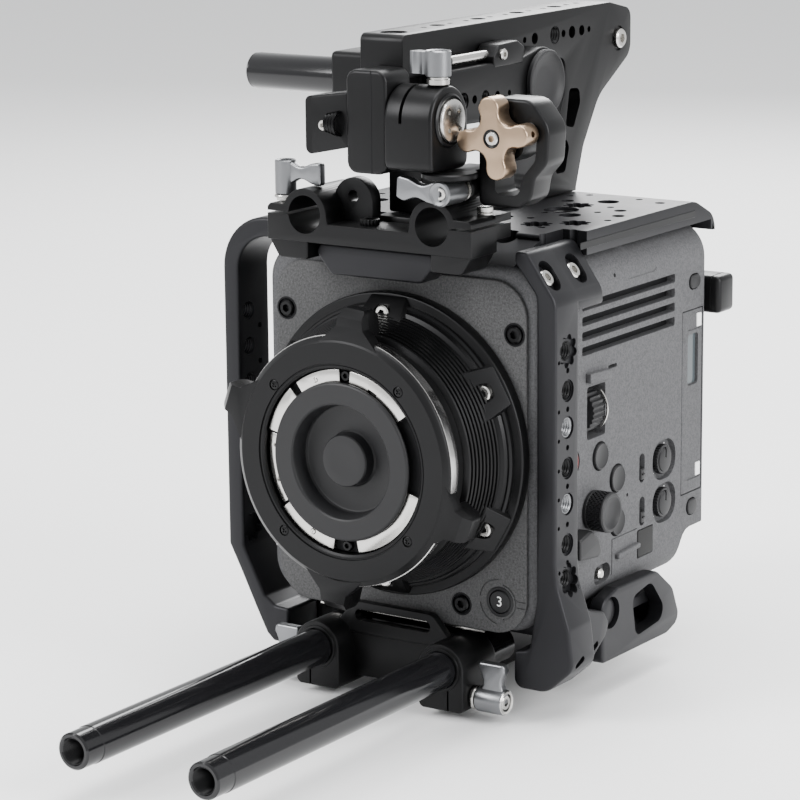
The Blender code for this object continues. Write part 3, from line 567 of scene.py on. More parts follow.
class RIG_OT_body(bpy.types.Operator):
    """Model the camera's body shell with its vents, windows and recesses"""

    bl_idname = "rig.body"
    bl_label = "Body"

    def execute(self, context):
        body = plate("body_shell", "xz", oblong(-65, -72, 65, 75.8, 15, 10), 2.0, 138)
        soften(body, 4, 5)
        cut(body, block("tool", (-80, 116, -90), (80, 150, -54), 8, 4))
        cut(body, block("tool", (-52, 14, -50), (52, 60, 50)))
        cut(body, drill("y", (0, 0, 0), 27, -5, 20, 64))
        cut(body, *[plate("tool", "yz", oblong(33.7, z - 1.85, 109.4, z + 1.85, 0.8, 3), 56, 70)
                    for z in (55.7, 49.65, 43.6, 37.55)])
        tools = []
        for y, z in DIALS:
            tools.append(plate("tool", "yz", oblong(y - 9.8, z - 8.4, y + 9.8, z + 8.4, 7.6, 8), 62.5, 70))
        for y, z in SWITCHES:
            tools.append(plate("tool", "yz", oblong(y - 2.2, z - 6.2, y + 2.2, z + 6.2, 2.2, 6), 62.2, 70))
        for y, z in SIDE_BUTTONS + (RECORD,):
            tools.append(drill("x", (0, y, z), 6.1, 61.8, 70, 40))
        tools.append(plate("tool", "yz", oblong(121.4, 48.3, 131.0, 55.1, 3.4, 6), 62, 70))
        tools.append(plate("tool", "yz", oblong(121.0, -49.2, 130.2, -41.6, 3.8, 6), 62, 70))
        tools.append(plate("tool", "yz", oblong(37.7, 0.8, 52.2, 22.4, 1.2, 3), 46.4, 70))
        tools.append(block("tool", (52, 118.5, -36), (60, 131.5, 37)))
        tools.append(plate("tool", "yz", oblong(116.0, -39.2, 134.2, 40.1, 0.6, 2), 61.6, 70))
        tools.append(plate("tool", "yz", oblong(79.0, -57.8, 92.3, -45.7, 0.6, 2), 63.5, 70))
        tools.append(plate("tool", "yz", oblong(44.0, -61.4, 56.8, -53.2, 3.8, 6), 61.6, 70))
        tools.append(plate("tool", "yz", oblong(54.4, 26.9, 61.4, 28.5, 0.7, 3), 62, 70))
        tools.append(drill("x", (0, 70.6, -28.6), 0.8, 62, 70, 16))
        tools.append(drill("x", (0, 60.0, 64.4), 0.9, 62, 70, 16))
        tools.append(plate("tool", "yz", oblong(66.5, 61.2, 95.5, 90, 5, 5), 64.75, 70))
        tools.append(block("tool", (64.6, 57.9, -80), (70, 58.5, -44.6)))
        tools.append(block("tool", (64.6, 57.9, -44.9), (70, 78.6, -44.4)))
        for z in (28.6, -25.0):
            tools.append(plate("tool", "yz", oblong(119.6, z - 4.2, 133.9, z + 4.2, 3, 4), 64.5, 70))
        cut(body, *tools, self_crossing=True)
        finish(body, "body_paint", "rig", "camera_body", angle=30)

        ledge = plate("window_ledge", "yz", [(36.6, 24.6), (36.6, 28.4), (53.4, 27.6), (53.4, 23.8)], 64.6,
            67.4)
        slice_off(ledge, spot(67.4, 40, 24.2), (0.7, 0, -0.7))
        soften(ledge, 0.4, 2)
        finish(ledge, "body_paint", "rig")
        hood = plate("knob_hood", "yz", rounded([(22.5, -36.5, 1), (32, -34, 2), (37.8, -39.2, 2),
            (40, -44.6, 2),
                                                 (37, -46.4, 1), (22.5, -44.6, 1)], 4), 64.6, 71.2)
        soften(hood, 1.6, 4)
        finish(hood, "matte_plastic", "rig")
        # painted shade: a near-black block behind the vents stands in for the shade inside them
        finish(block("vent_shade_backing", (52, 31, 34), (61.0, 118.5, 62)), "painted_shade_and_seam", "rig")
        return {"FINISHED"}


class RIG_OT_front_panel(bpy.types.Operator):
    """Model the front panel with its screws, its round button and the marks round it"""

    bl_idname = "rig.front_panel"
    bl_label = "Front Panel"

    def execute(self, context):
        panel = plate("panel_face", "xz", oblong(-59.8, -72.5, 59.8, 70, 15, 12), 0, 1.7)
        soften(panel, 0.6, 3)
        cut(panel, drill("y", (0, 0, 0), 30, -5, 5, 64))
        wells = [drill("y", (x, 0, z), 4.5, -5, 5, 36) for x, z in PANEL_SCREWS]
        x, z = FRONT_BUTTON
        cut(panel, drill("y", (x, 0, z), 5.4, -5, 5, 40), *wells)
        grooves = []
        for low, high in ((95, 172), (188, 262)):
            outline = arc((x, z), 9.6, low, high, 14) + arc((x, z), 8.9, high, low, 14)
            grooves.append(plate("tool", "xz", outline, -1, 0.45))
        outline = arc((x, z), 7.6, -78, 78, 18) + arc((x, z), 7.0, 78, -78, 18)
        grooves.append(plate("tool", "xz", outline, -1, 0.4))
        grooves += [block("tool", (x + 7.9, -1, z + side - 0.2),
            (x + 14, 0.4, z + side + 0.2)) for side in (-1.3, 1.3)]
        cut(panel, *grooves)
        finish(panel, "panel_paint", "rig", "front_panel", angle=30)
        # painted shade: the seats round the panel screws are near-black to stand in for the shade in the
        # screw wells
        seats = [lathe("seat", "y", (px, 0, pz), [(4.7, 0.2), (4.1, 0.2), (4.1, -0.9), (0, -1.2), (0, -1.6),
                                                  (4.7, -1.6)], 40) for px, pz in PANEL_SCREWS]
        finish(merged(*seats), "painted_shade_and_seam", "rig").name = "screw_seats"
        for i, (px, pz) in enumerate(PANEL_SCREWS):
            head = screw(f"panel_screw_head_{i + 1}", (px, 0.7, pz), (0, -1, 0), 3.3, "socket", 1.5, 12 * i)
            finish(head, "black_screw", "rig", f"panel_screw_{i + 1}")
        collar = lathe("button_collar", "y", (x, 0, z), [(6.2, 0.25), (5.6, 0.45), (5.0, 0.25), (5.0, -1.5),
                                                         (6.2, -1.5)], 48)
        finish(collar, "matte_plastic", "rig")
        button = lathe("button_face", "y", (x, 0, z),
            [(0, 0.55), (3.6, 0.6), (4.3, 0.45), (4.7, 0.0), (4.7, -3),
                                                       (0, -3)], 48)
        finish(button, "matte_plastic", "front_button", "front_button")
        numeral = self.numeral(x, z)
        finish(numeral, "print_white", "front_button")
        trim = plate("panel_trim", "xz", rounded([(-40, -73.4, 0), (40, -73.4, 0), (40, -72.7, 0),
            (-40, -72.7, 0)]),
                     0.4, 1.6)
        finish(trim, "bright_metal", "rig")
        return {"FINISHED"}

    def numeral(self, x, z):
        """The digit on the round button."""
        clear()
        bpy.ops.object.text_add(rotation=(pi / 2, 0, 0), location=spot(x, -0.58, z))
        text = bpy.context.object
        text.data.body = "3"
        text.data.size = 0.0058
        text.data.extrude = 0.00004
        text.data.align_x = "CENTER"
        text.data.align_y = "CENTER"
        bpy.ops.object.convert(target="MESH")
        digit = named("button_digit")
        bpy.ops.object.transform_apply(location=True, rotation=True, scale=True)
        bpy.ops.object.mode_set(mode="EDIT")
        close_up()
        return digit


class RIG_OT_side_controls(bpy.types.Operator):
    """Model the buttons, dials, switches, wheel, knob, door and covers on the body's side"""

    bl_idname = "rig.side_controls"
    bl_label = "Side Controls"

    def execute(self, context):
        dish = [(0, 65.6), (4.2, 65.75), (5.0, 66.1), (5.4, 65.9), (5.6, 65.3), (5.6, 63), (0, 63)]
        for i, (y, z) in enumerate(SIDE_BUTTONS):
            key = lathe(f"side_key_{i + 1}", "x", (0, y, z), dish, 48)
            finish(key, "matte_plastic", f"side_button_{i + 1}", f"side_button_{i + 1}")
        y, z = RECORD
        key = lathe("record_key", "x", (0, y, z), [(r, max(h, 64.2) - 1.0) for r, h in dish], 48)
        finish(key, "record_red", "record_button", "record_button")
        for name, (y, z), half in (("clips_button", (126.2, 51.7), (4.3, 2.9)),
                                   ("menu_button", (125.6, -45.4), (4.1, 3.3))):
            key = plate(name + "_key", "yz", oblong(y - half[0], z - half[1], y + half[0], z + half[1],
                                                    min(half) - 0.05, 8), 63, 65.8)
            soften(key, 0.5, 3)
            finish(key, "matte_plastic", name, name)
        for i, (y, z) in enumerate(DIALS):
            outline = gear((y, z), 6.4, 6.0, 30)
            dial = plate(f"audio_knob_{i + 1}", "yz", outline, 62.8, 65.2)
            crown = lathe("crown", "x", (0, y, z), [(0, 65.9), (4.2, 66.0), (5.0, 65.7), (5.4, 64.8),
                (0, 64.8)], 40)
            cut(crown, block("tool", (65.2, y - 0.45, z + 0.8), (68, y + 0.45, z + 6)))
            soften(dial, 0.25, 2, 60)
            finish(merged(dial, crown), "matte_plastic", f"audio_dial_{i + 1}", f"audio_dial_{i + 1}")
            marks = []
            for k in range(9):
                t = radians(-50 + 35 * k)
                marks.append(bar("mark", "x", (0, y + 7.4 * cos(t), z + 7.2 * sin(t)), 0.28, 62.4, 62.6, 8))
            finish(merged(*marks), "print_white", "rig").name = f"dial_marks_{i + 1}"
        for i, (y, z) in enumerate(SWITCHES):
            key = block(f"slide_key_{i + 1}", (62.3, y - 1.6, z - 4.9), (65.6, y + 1.6, z - 0.2), 0.6)
            fuse(key, block("ridge", (65.0, y - 1.0, z - 2.9), (66.2, y + 1.0, z - 2.1), 0.25, 2))
            finish(key, "matte_plastic", f"audio_switch_{i + 1}", f"audio_switch_{i + 1}")
        wheel = plate("wheel_rim", "xz", gear((57, 11.6), 9.95, 9.2, 28), 40.6, 49.0)
        soften(wheel, 0.3, 2, 50)
        finish(wheel, "matte_plastic", "filter_wheel", "filter_wheel")
        guard = plate("wheel_guard", "xz", arc((57, 11.6), 10.6, -48, 48, 16) + arc((57, 11.6), 9.9, 48, -48,
            16),
                      49.6, 50.3)
        finish(guard, "bright_metal", "rig")
        self.jog_knob()
        pick_place = (50.3, -57.0)
        slide = lathe("power_key", "x", (0, pick_place[0] - 1.4, pick_place[1]),
                      [(0, 65.6), (1.5, 65.7), (2.2, 65.2), (2.4, 64.4), (2.4, 62.4), (0, 62.4)], 36)
        finish(slide, "bright_metal", "power_switch", "power_switch")
        door = plate("door_leaf", "yz", oblong(116.5, -38.7, 133.5, 39.6, 0.8, 3), 62.9, 65.0)
        soften(door, 0.25, 2)
        cut(door, plate("tool", "yz", oblong(121.0, 7.5, 130.0, 29.5, 1.6, 4), 63.6, 70))
        for z in (34.6, -30.0):
            cut(door, plate("tool", "yz", oblong(119.8, z - 3.6, 133.9, z + 3.6, 2.6, 4), 64.5, 70))
        finish(door, "body_paint", "card_door", "card_door")
        pane = block("door_pane", (63.3, 121.4, 8), (63.75, 129.6, 29))
        finish(pane, "filter_glass", "card_door")
        tabs = [block("tab", (64.0, 129.4, z - 2.9), (64.9, 133.3, z + 2.9), 0.3, 2) for z in (34.6, -30.0)]
        finish(merged(*tabs), "print_white", "card_door").name = "door_tabs"
        cover = plate("cover_leaf", "yz", oblong(79.5, -57.4, 91.9, -46.1, 0.8, 3), 63.8, 65.3)
        soften(cover, 0.3, 2)
        finish(cover, "seal_rubber", "port_cover", "port_cover")
        lip = plate("cover_shelf", "yz", [(60.8, -53.6), (60.8, -51.4), (78.8, -50.4), (78.8, -52.4)], 64.6,
            67.0)
        soften(lip, 0.5, 3)
        finish(lip, "body_paint", "rig")
        return {"FINISHED"}

    def jog_knob(self):
        """A dished knob with a knurled side."""
        y, z = 42.0, -28.6
        knob = lathe("jog_crown", "x", (0, y, z), [
            (0, 72.9), (3.5, 73.0), (5.6, 73.5), (6.8, 74.3), (7.7, 74.3), (8.2, 73.8), (8.3, 73.2),
                (7.8, 73.0),
            (7.8, 66.8), (8.2, 66.5), (8.2, 65.4), (0, 65.4)], 64)
        studs = []
        for row in range(6):
            for k in range(30):
                t = 360 * (k + 0.5 * (row % 2)) / 30
                studs.append((row, t))
        stud = block("stud", (66.95, y + 7.7, z - 0.55), (67.75, y + 8.25, z + 0.55))
        copies = [copy_of(stud, "stud", Matrix.Translation((0.001 * row, 0, 0)) @ turned_about("x", (0, y, z),
            t))
                  for row, t in studs]
        bpy.data.objects.remove(stud)
        finish(merged(knob, *copies), "matte_plastic", "jog_knob", "jog_knob")


# Lens mount --------------------------------------------------------------------

class RIG_OT_mount(bpy.types.Operator):
    """Model the lens mount: foot, ribbed cone, band, locking ring, flange and cap"""

    bl_idname = "rig.mount"
    bl_label = "Lens Mount"

    def execute(self, context):
        sizes = context.scene.rig_sizes
        turns = sizes.turns
        foot = plate("mount_foot", "xz", ring_of((0, 0), 61.8, turns), -6.0, -0.3)
        soften(foot, 0.8, 3, 20)
        cut(foot, drill("y", (0, 0, 0), 28, -20, 5, 96))
        finish(foot, "black_anodised", "rig", "mount_housing")
        rim = lathe("mount_rim", "y", (0, 0, 0), [(28, 6), (28, 8.4), (57.2, 8.4), (58.0, 7.6), (58.0, 6)],
            turns)
        finish(rim, "black_anodised", "rig")
        profile = [(28, 5), (28, 34.6), (46.1, 34.6), (46.7, 34.0), (46.7, 25.2), (48.4, 24.6)]
        ribs = sizes.mount_ribs
        for k in range(ribs):
            share = k / ribs
            radius, height = 48.9 + 6.2 * share, 24.2 - 13.4 * share
            step = 13.4 / ribs
            profile += [(radius, height), (radius + 0.25, height - step * 0.55),
                (radius - 0.75, height - step * 0.6),
                        (radius - 0.6, height - step * 0.95)]
        profile += [(55.8, 9.8), (56.6, 8), (56.6, 5)]
        cone = lathe("mount_cone", "y", (0, 0, 0), profile[::-1], turns)
        finish(cone, "black_anodised", "rig", angle=20)
        self.facets()
        self.base_screws()
        band = lathe("band_hoop", "y", (0, 0, 0), [(46.8, 34.8), (48.3, 34.8), (48.6, 34.5), (48.6, 31.7),
                                                    (48.3, 31.4), (46.8, 31.4)], turns)
        finish(band, "polished_band", "rig", "mount_band")
        self.lock_ring(turns)
        self.flange(turns)
        cap = lathe("cap_shell", "y", (0, 0, 0), [
            (0, 38.6), (6, 38.75), (9.2, 39.0), (10.0, 38.8), (10.4, 38.2), (10.8, 33.8), (11.4, 33.2),
                (20.6, 33.0),
            (21.4, 33.3), (21.9, 34.0), (22.6, 40.4), (23.0, 41.2), (23.6, 41.6), (30.8, 41.6), (31.4, 41.3),
            (31.7, 40.8), (31.7, 40.1), (31.5, 39.8), (28.4, 39.8), (28.4, 36.3), (26.5, 36), (25.5, 22),
                (24, 20), (0, 20)], turns)
        finish(cap, "matte_plastic", "mount_cap", "mount_cap", angle=25)
        return {"FINISHED"}

    def facets(self):
        """The six smooth shoulders between the cone's flats."""
        pieces = []
        outline = rounded([(45.8, -8.5, 0), (52.5, -11.8, 1), (57.6, -12.6, 2), (60.6, -8, 3), (60.6, 8, 3),
                           (57.6, 12.6, 2), (52.5, 11.8, 1), (45.8, 8.5, 0)], 4)
        shoulder = plate("shoulder", "xz", outline, -23.6, -6)
        slice_off(shoulder, spot(59.5, -7.4, 0), Vector((15.4, -12.0, 0)))
        slice_off(shoulder, spot(50.5, -20.0, 9.8), Vector((0.5, -0.25, 1)))
        slice_off(shoulder, spot(50.5, -20.0, -9.8), Vector((0.5, -0.25, -1)))
        soften(shoulder, 0.5, 3, 20)
        for k in range(6):
            pieces.append(copy_of(shoulder, "shoulder", turned_about("y", (0, 0, 0), 30 + 60 * k)))
        bpy.data.objects.remove(shoulder)
        group = merged(*pieces)
        wells = [drill("y", (54.4 * cos(radians(30 + 60 * k)), 0, 54.4 * sin(radians(30 + 60 * k))), 4.0, -40,
            -9.2, 32)
                 for k in range(6)]
        cut(group, *wells)
        finish(group, "black_anodised", "rig").name = "mount_shoulders"

    def base_screws(self):
        heads = []
        for k in range(6):
            t = radians(30 + 60 * k)
            heads.append(screw("head", (54.4 * cos(t), -9.4, 54.4 * sin(t)), (0, -1, 0), 3.1, "socket", 2.4,
                20 * k))
        finish(merged(*heads), "bright_metal", "rig").name = "mount_screws"

    def lock_ring(self, turns):
        ring = lathe("ring_body", "y", (0, 0, 0), [
            (37.2, 40.6), (38.0, 41.2), (38.5, 41.2), (38.7, 40.9), (39.1, 40.9), (39.3, 41.5), (47.6, 41.5),
            (49.6, 40.2), (50, 39.5), (50, 35.6), (49.6, 35.0), (37.2, 35.0)], turns)
        wells = [drill("y", (41.6 * cos(radians(t)), 0, 41.6 * sin(radians(t))), 2.25, -45, -40.6, 32)
                 for t in (48.6, 138.6, 228.6, 318.6)]
        cut(ring, *wells)
        root = rounded([(46.5, -13.5, 0), (51.5, -8.6, 7), (53.8, -6.2, 2), (61, -4.9, 1.2), (61, 4.9, 1.2),
                        (53.8, 6.2, 2), (51.5, 8.6, 7), (46.5, 13.5, 0)], 6)
        horn = rounded([(50.9, -6.8, 0.5), (61, -4.9, 1.2), (61, 4.9, 1.2), (50.9, 6.8, 0.5)], 4)
        lug = fuse(plate("lug", "xz", root, -41.0, -35.4), plate("horn", "xz", horn, -36.4, -29.6))
        slice_off(lug, spot(57.8, -41.0, 0), Vector((1.0, -1.3, 0)))
        slice_off(lug, spot(58.5, -29.6, 0), Vector((1.0, 2.4, 0)))
        soften(lug, 0.6, 3, 30)
        for turn in (160, 85, -20, -95):
            fuse(ring, copy_of(lug, "lug", turned_about("y", (0, 0, 0), -turn)))
        bpy.data.objects.remove(lug)
        finish(ring, "black_anodised", "lock_ring", "lock_ring", angle=28)
        hoop = lathe("ring_hoop", "y", (0, 0, 0), [(49.6, 35.7), (50.3, 35.8), (50.3, 38.9), (49.6, 39.0)],
            turns)
        finish(hoop, "polished_band", "lock_ring")
        heads = []
        for t in (48.6, 138.6, 228.6, 318.6):
            place = (41.6 * cos(radians(t)), -40.6, 41.6 * sin(radians(t)))
            heads.append(screw("head", place, (0, -1, 0), 1.95, "cross", 0.75, t))
        finish(merged(*heads), "black_screw", "lock_ring").name = "ring_screws"

    def flange(self, turns):
        # painted shade: the near-black seat under the flange's wings stands in for the shade in the gaps
        # between them
        seat = lathe("flange_seat", "y", (0, 0, 0), [(28.9, 34.8), (28.9, 37.0), (36.9, 37.0), (36.9, 34.8)],
            turns)
        finish(seat, "painted_shade_and_seam", "rig")
        wings = []
        for low, high in ((36, 84), (92, 127), (133, 166), (217, 262), (281, 344)):
            steps = max(4, (high - low) // 4)
            wing = plate("wing", "xz", arc((0, 0), 36.6, low, high, steps) + arc((0, 0), 30.6, high, low,
                steps),
                         -39.5, -36.8)
            soften(wing, 0.25, 2)
            wings.append(wing)
        shelf = plate("wing", "xz", arc((0, 0), 36.4, 168, 215, 12) + arc((0, 0), 31.6, 215, 168, 12), -38.3,
            -36.8)
        soften(shelf, 0.25, 2)
        wings.append(shelf)
        flange = merged(*wings)
        tools = [drill("y", (33.6 * cos(radians(t)), 0, 33.6 * sin(radians(t))), r, -45, -37.4, 20)
                 for t, r in ((176, 0.8), (200, 1.2), (244, 1.3), (112, 1.0))]
        tools.append(plate("tool", "xz", arc((0, 0), 32.8, 60, 68, 4) + arc((0, 0), 30, 68, 60, 4), -45,
            -38.4))
        cut(flange, *tools)
        finish(flange, "bright_metal", "rig", "flange_ring")
        heads = [screw("head", (34.2 * cos(radians(t)), -37.0, 34.2 * sin(radians(t))), (0, -1, 0), 2.2,
            "socket",
                       1.9, t) for t in (88, 271.5)]
        finish(merged(*heads), "black_screw", "rig").name = "flange_black_screws"
        heads = [screw("head", (33.6 * cos(radians(t)), -39.2, 33.6 * sin(radians(t))), (0, -1, 0), 1.1,
            "slot",
                       0.7, t) for t in (244, 112)]
        finish(merged(*heads), "bright_metal", "rig").name = "flange_pins"


# Cage ----------------------------------------------------------------------------

BAR_HOLES = (43.6, 28.0, 13.3, -2.9, -17.4, -33.8, -48.0)
INSERTS = (13.3, -17.4)
LOOP_HOLES = (45.3, 30.2, 15.0, 0.0, -15.5, -31.0, -47.1)
TOP_HOLES = ((40, 18, 4.6), (24, 30, 2.7), (40, 66, 4.6), (52, 86, 2.7), (36, 104, 4.6), (56, 112, 2.2),
             (20, 50, 2.7), (30, 52, 1.6), (46, 34, 1.6), (60, 34, 2.2), (60, 62, 1.6), (58, 74, 2.7),
                 (44, 92, 1.6),
             (20, 98, 2.7), (20, 116, 1.6), (44, 116, 1.6), (28, 66, 1.6), (20, 14, 2.2), (56, 20, 2.2),
                 (46, 78, 1.6),
             (-30, 30, 4.6), (-30, 60, 2.7), (-30, 90, 4.6), (-50, 30, 2.7), (-50, 60, 4.6), (-50, 90, 2.7),
             (-40, 45, 1.6), (-40, 75, 1.6), (-20, 110, 1.6), (-20, 20, 1.6), (-58, 45, 1.6), (-58, 75, 1.6),
             (0, 104, 2.7), (14, 110, 1.6), (-10, 116, 1.6))
TOP_ROSETTES = ((52, 50), (40, 40), (30, 90))


class RIG_OT_cage(bpy.types.Operator):
    """Model the cage: drilled side bar, loop handle, top plate and base plate"""

    bl_idname = "rig.cage"
    bl_label = "Cage"

    def execute(self, context):
        self.side_bar()
        self.left_loop()
        self.top_plate()
        self.base()
        return {"FINISHED"}

    def side_bar(self):
        side = plate("cage_bar", "xz", rounded([
            (55, -93, 4), (70, -93, 9), (82.3, -82, 7), (80.3, -66, 9), (75, -50, 14), (74, -40, 0),
            (74, 64, 9), (61, 82.4, 3), (55.5, 82.4, 0), (55.5, 78, 0), (65.4, 65.5, 6), (65.4, -56, 6),
            (62, -76.5, 3), (55, -78, 0)], 8), -2, 16.2)
        soften(side, 1.3, 4, 25)
        strap = plate("strap", "xz", rounded([
            (73.9, 58, 0), (73.9, 64, 9), (61, 82.3, 3), (55.8, 82.3, 0), (55.8, 78.2, 0), (65.8, 65.7, 6),
            (65.8, 58, 0)], 8), 10, 35.0)
        soften(strap, 1.2, 3, 25)
        lobe = plate("lobe", "yz", rounded([(12, -88, 0), (22, -86, 4), (34, -78, 5), (37.5, -73, 4),
            (33, -67, 5),
                                            (20, -63.5, 8), (13, -50, 0)], 6), 66, 76.3)
        soften(lobe, 1.2, 3, 25)
        fuse(side, strap, lobe)
        tools = []
        for row, z in enumerate(BAR_HOLES):
            tools.append(drill("x", (0, 7.5, z), 3.75, 60, 80, 40))
            if row in (0, 6):
                tools.append(plate("tool", "yz", gear((7.5, z), 5.0, 6.8, 8, 0.2), 72.8, 80))
            else:
                tools.append(drill("x", (0, 7.5, z), 4.5, 73.2, 80, 40))
        for z in (36.0, 20.6, 5.3, -10.2, -25.6, -41.2):
            tools.append(drill("x", (0, 7.5, z), 1.15, 71, 80, 16))
        for z in (20.6, 9.0, -2.9, -14.5, -26.0, 40.0, -44.0):
            tools.append(drill("x", (0, 0.9, z), 0.85, 71, 80, 16))
        for y, z in ((24.9, -80.1), (4.5, -80.0)):
            slot = plate("tool", "yz", oblong(y - 3.4, z - 1.2, y + 3.4, z + 1.2, 1.15, 5), 74, 84)
            slot.data.transform(turned_about("x", (0, y, z), 24))
            tools.append(slot)
        cut(side, *tools, self_crossing=True)
        wells = []
        for y in (4.5, 24.5):
            well = plate("tool", "xy", oblong(-6.6, y - 4.5, 6.6, y + 4.5, 4.3, 8), -3.5, 14)
            well.data.transform(Matrix.Translation(spot(67.5, 0, 73.1)) @ Matrix.Rotation(radians(54.8), 4,
                "Y")
                                @ Matrix.Translation(-spot(0, 0, 0)))
            wells.append(well)
        cut(side, *wells)
        finish(side, "cage_anodised", "rig", "cage_right", angle=28)
        heads = []
        for y in (4.5, 24.5):
            heads.append(screw("head", (64.7, y, 71.1), (sin(radians(54.8)), 0, cos(radians(54.8))), 3.5,
                "socket",
                               2.6, 10))
        finish(merged(*heads), "bright_metal", "rig").name = "strap_screws"
        sleeves = [thread("sleeve", "x", (0, 7.5, z), 3.7, 66, 72.8) for z in BAR_HOLES if z not in INSERTS]
        finish(merged(*sleeves), "black_screw", "rig").name = "bar_threads"
        sleeves = [thread("sleeve", "x", (0, 7.5, z), 3.6, 66, 73.4) for z in INSERTS]
        finish(merged(*sleeves), "lever_steel", "rig").name = "bar_inserts"

    def left_loop(self):
        outer = arc((-85.2 + 22, 86 - 22), 22, 90, 180, 14)
        inner = arc((-77.6 + 15, 78 - 15), 15, 180, 90, 12)
        loop = plate("loop_bar", "xz", [(-56, 86)] + outer + rounded([
            (-85.2, -53.7, 0), (-79.6, -64.3, 6), (-71.7, -80.1, 6), (-66.5, -90, 4), (-63, -93, 2),
                (-55, -93, 0),
            (-55, -78, 0), (-62, -77.5, 3), (-67, -74, 3), (-73.3, -61.7, 6), (-77.6, -53.6, 0)], 5)
            + inner + [(-56, 78)], -2, 19.5)
        soften(loop, 1.4, 4, 25)
        tools = [drill("x", (0, 5, z), 3.75, -90, -70, 32) for z in LOOP_HOLES[:-1]]
        tools += [drill("x", (0, 12.5, z - 7.5), 1.2, -90, -70, 16) for z in LOOP_HOLES[:-1]]
        tools.append(plate("tool", "yz", gear((5, -47.1), 4.8, 6.3, 8), -79.6, -70))
        cut(loop, *tools)
        finish(loop, "cage_anodised", "rig", "cage_left", angle=28)
        sleeves = [thread("sleeve", "x", (0, 5, z), 3.7, -84.4, -78.4, 28) for z in LOOP_HOLES[:-1]]
        finish(merged(*sleeves), "cage_anodised", "rig").name = "loop_threads"

    def top_plate(self):
        top = plate("top_deck", "yz", [(-1.7, 76.4), (138.3, 76.4), (138.3, 72.0)] + rounded([
            (141.8, 71.5, 1.5), (142.0, 77.5, 9), (124, 86, 16), (-1.7, 86, 1)], 8), -66, 66)
        soften(top, 0.9, 3, 25)
        cut(top, block("tool", (55.2, -10, 70), (80, 35.3, 100)),
            block("tool", (-80, -10, 70), (-55.7, 19.8, 100)))
        tools = [drill("z", (x, y, 0), radius, 70, 95, 28) for x, y, radius in TOP_HOLES]
        tools += [plate("tool", "xy", gear(place, 4.6, 6.6, 8, 0.3), 83, 90) for place in TOP_ROSETTES]
        tools += [drill("z", (*place, 0), 4.2, 70, 88, 28) for place in TOP_ROSETTES]
        tools += [drill("z", (30, 76, 0), 5.0, 70, 95, 36), drill("z", (30, 76, 0), 7.4, 83.4, 95, 40)]
        cut(top, *tools, self_crossing=True)
        finish(top, "cage_anodised", "rig", "top_plate", angle=28)
        rings = [lathe("ring", "z", (30, 76, 0), [(5.0, 83.2), (5.0, 84.4), (5.4, 84.8), (6.8, 84.8),
            (7.2, 84.4),
                                                  (7.2, 83.2)], 40)]
        rings += [thread("ring", "z", (x, y, 0), 4.15, 77, 83, 24) for x, y in TOP_ROSETTES]
        finish(merged(*rings), "black_screw", "rig").name = "deck_rings"
        strips = [block("strip", (side * 66.1 - 0.15, 30, 79.2), (side * 66.1 + 0.15, 124, 82.0), 0.1, 1)
                  for side in (-1, 1)]
        finish(merged(*strips), "black_anodised", "rig").name = "deck_strips"

    def base(self):
        deck = block("base_deck", (-54.7, 20.0, -78.2), (54.7, 104, -73.8), 0.6, 2)
        cheek = rounded([(20, -92, 2), (94, -92.6, 8), (105, -90, 4), (104.5, -82, 6), (101, -78, 3),
            (98, -74, 3),
                         (20, -74, 2)], 6)
        opening = rounded([(66, -88, 2), (92, -87, 4), (96, -83.5, 3), (92, -78.5, 2), (66, -78.5, 2)], 6)
        outer = rounded([(39, -92, 3), (94, -92.6, 9), (105.3, -89, 5), (98.5, -73.5, 8), (84.5, -63, 9),
                         (52, -62.6, 4), (39, -66, 6)], 8)
        window = rounded([(63.5, -69.5, 4), (67, -87.2, 4), (94.5, -84.4, 5), (79.6, -66.6, 6)], 8)
        pieces = []
        for side in (-1, 1):
            inner = plate("cheek", "yz", cheek, *sorted((side * 54, side * 64.6)))
            soften(inner, 0.9, 3, 25)
            cut(inner, plate("tool", "yz", opening, *sorted((side * 50, side * 70))))
            flank = plate("flank", "yz", outer, *sorted((side * 65.2, side * 71.6)))
            soften(flank, 1.1, 3, 25)
            cut(flank, plate("tool", "yz", window, *sorted((side * 60, side * 75))),
                drill("x", (0, 46.5, -71.8), 6.6, *sorted((side * 69, side * 75)), 40))
            link = block("link", (min(side * 64, side * 66), 42, -91), (max(side * 64, side * 66), 62, -75),
                0.3, 1)
            boss = lathe("boss", "x", (0, 46.5, -71.8),
                [(0, side * 70.2), (4.6, side * 70.3), (5.6, side * 69.8),
                                                         (5.8, side * 68.4), (0, side * 68.4)], 40)
            pieces += [inner, flank, link, boss]
        finish(merged(deck, *pieces), "cage_anodised", "rig", "base_plate", angle=28)
        foot = block("foot_block", (-21, 8.6, -103), (21, 100, -78.5), 1.2, 3)
        cut(foot, *[drill("z", (0, y, 0), 4.0, -110, -90, 28) for y in (30, 80)])
        finish(foot, "black_anodised", "rig", "tripod_block")
        finish(merged(*[thread("sleeve", "z", (0, y, 0), 3.95, -102, -92, 28) for y in (30, 80)]),
            "black_screw",
               "rig").name = "foot_threads"


# Lower clamps and rods ---------------------------------------------------------------

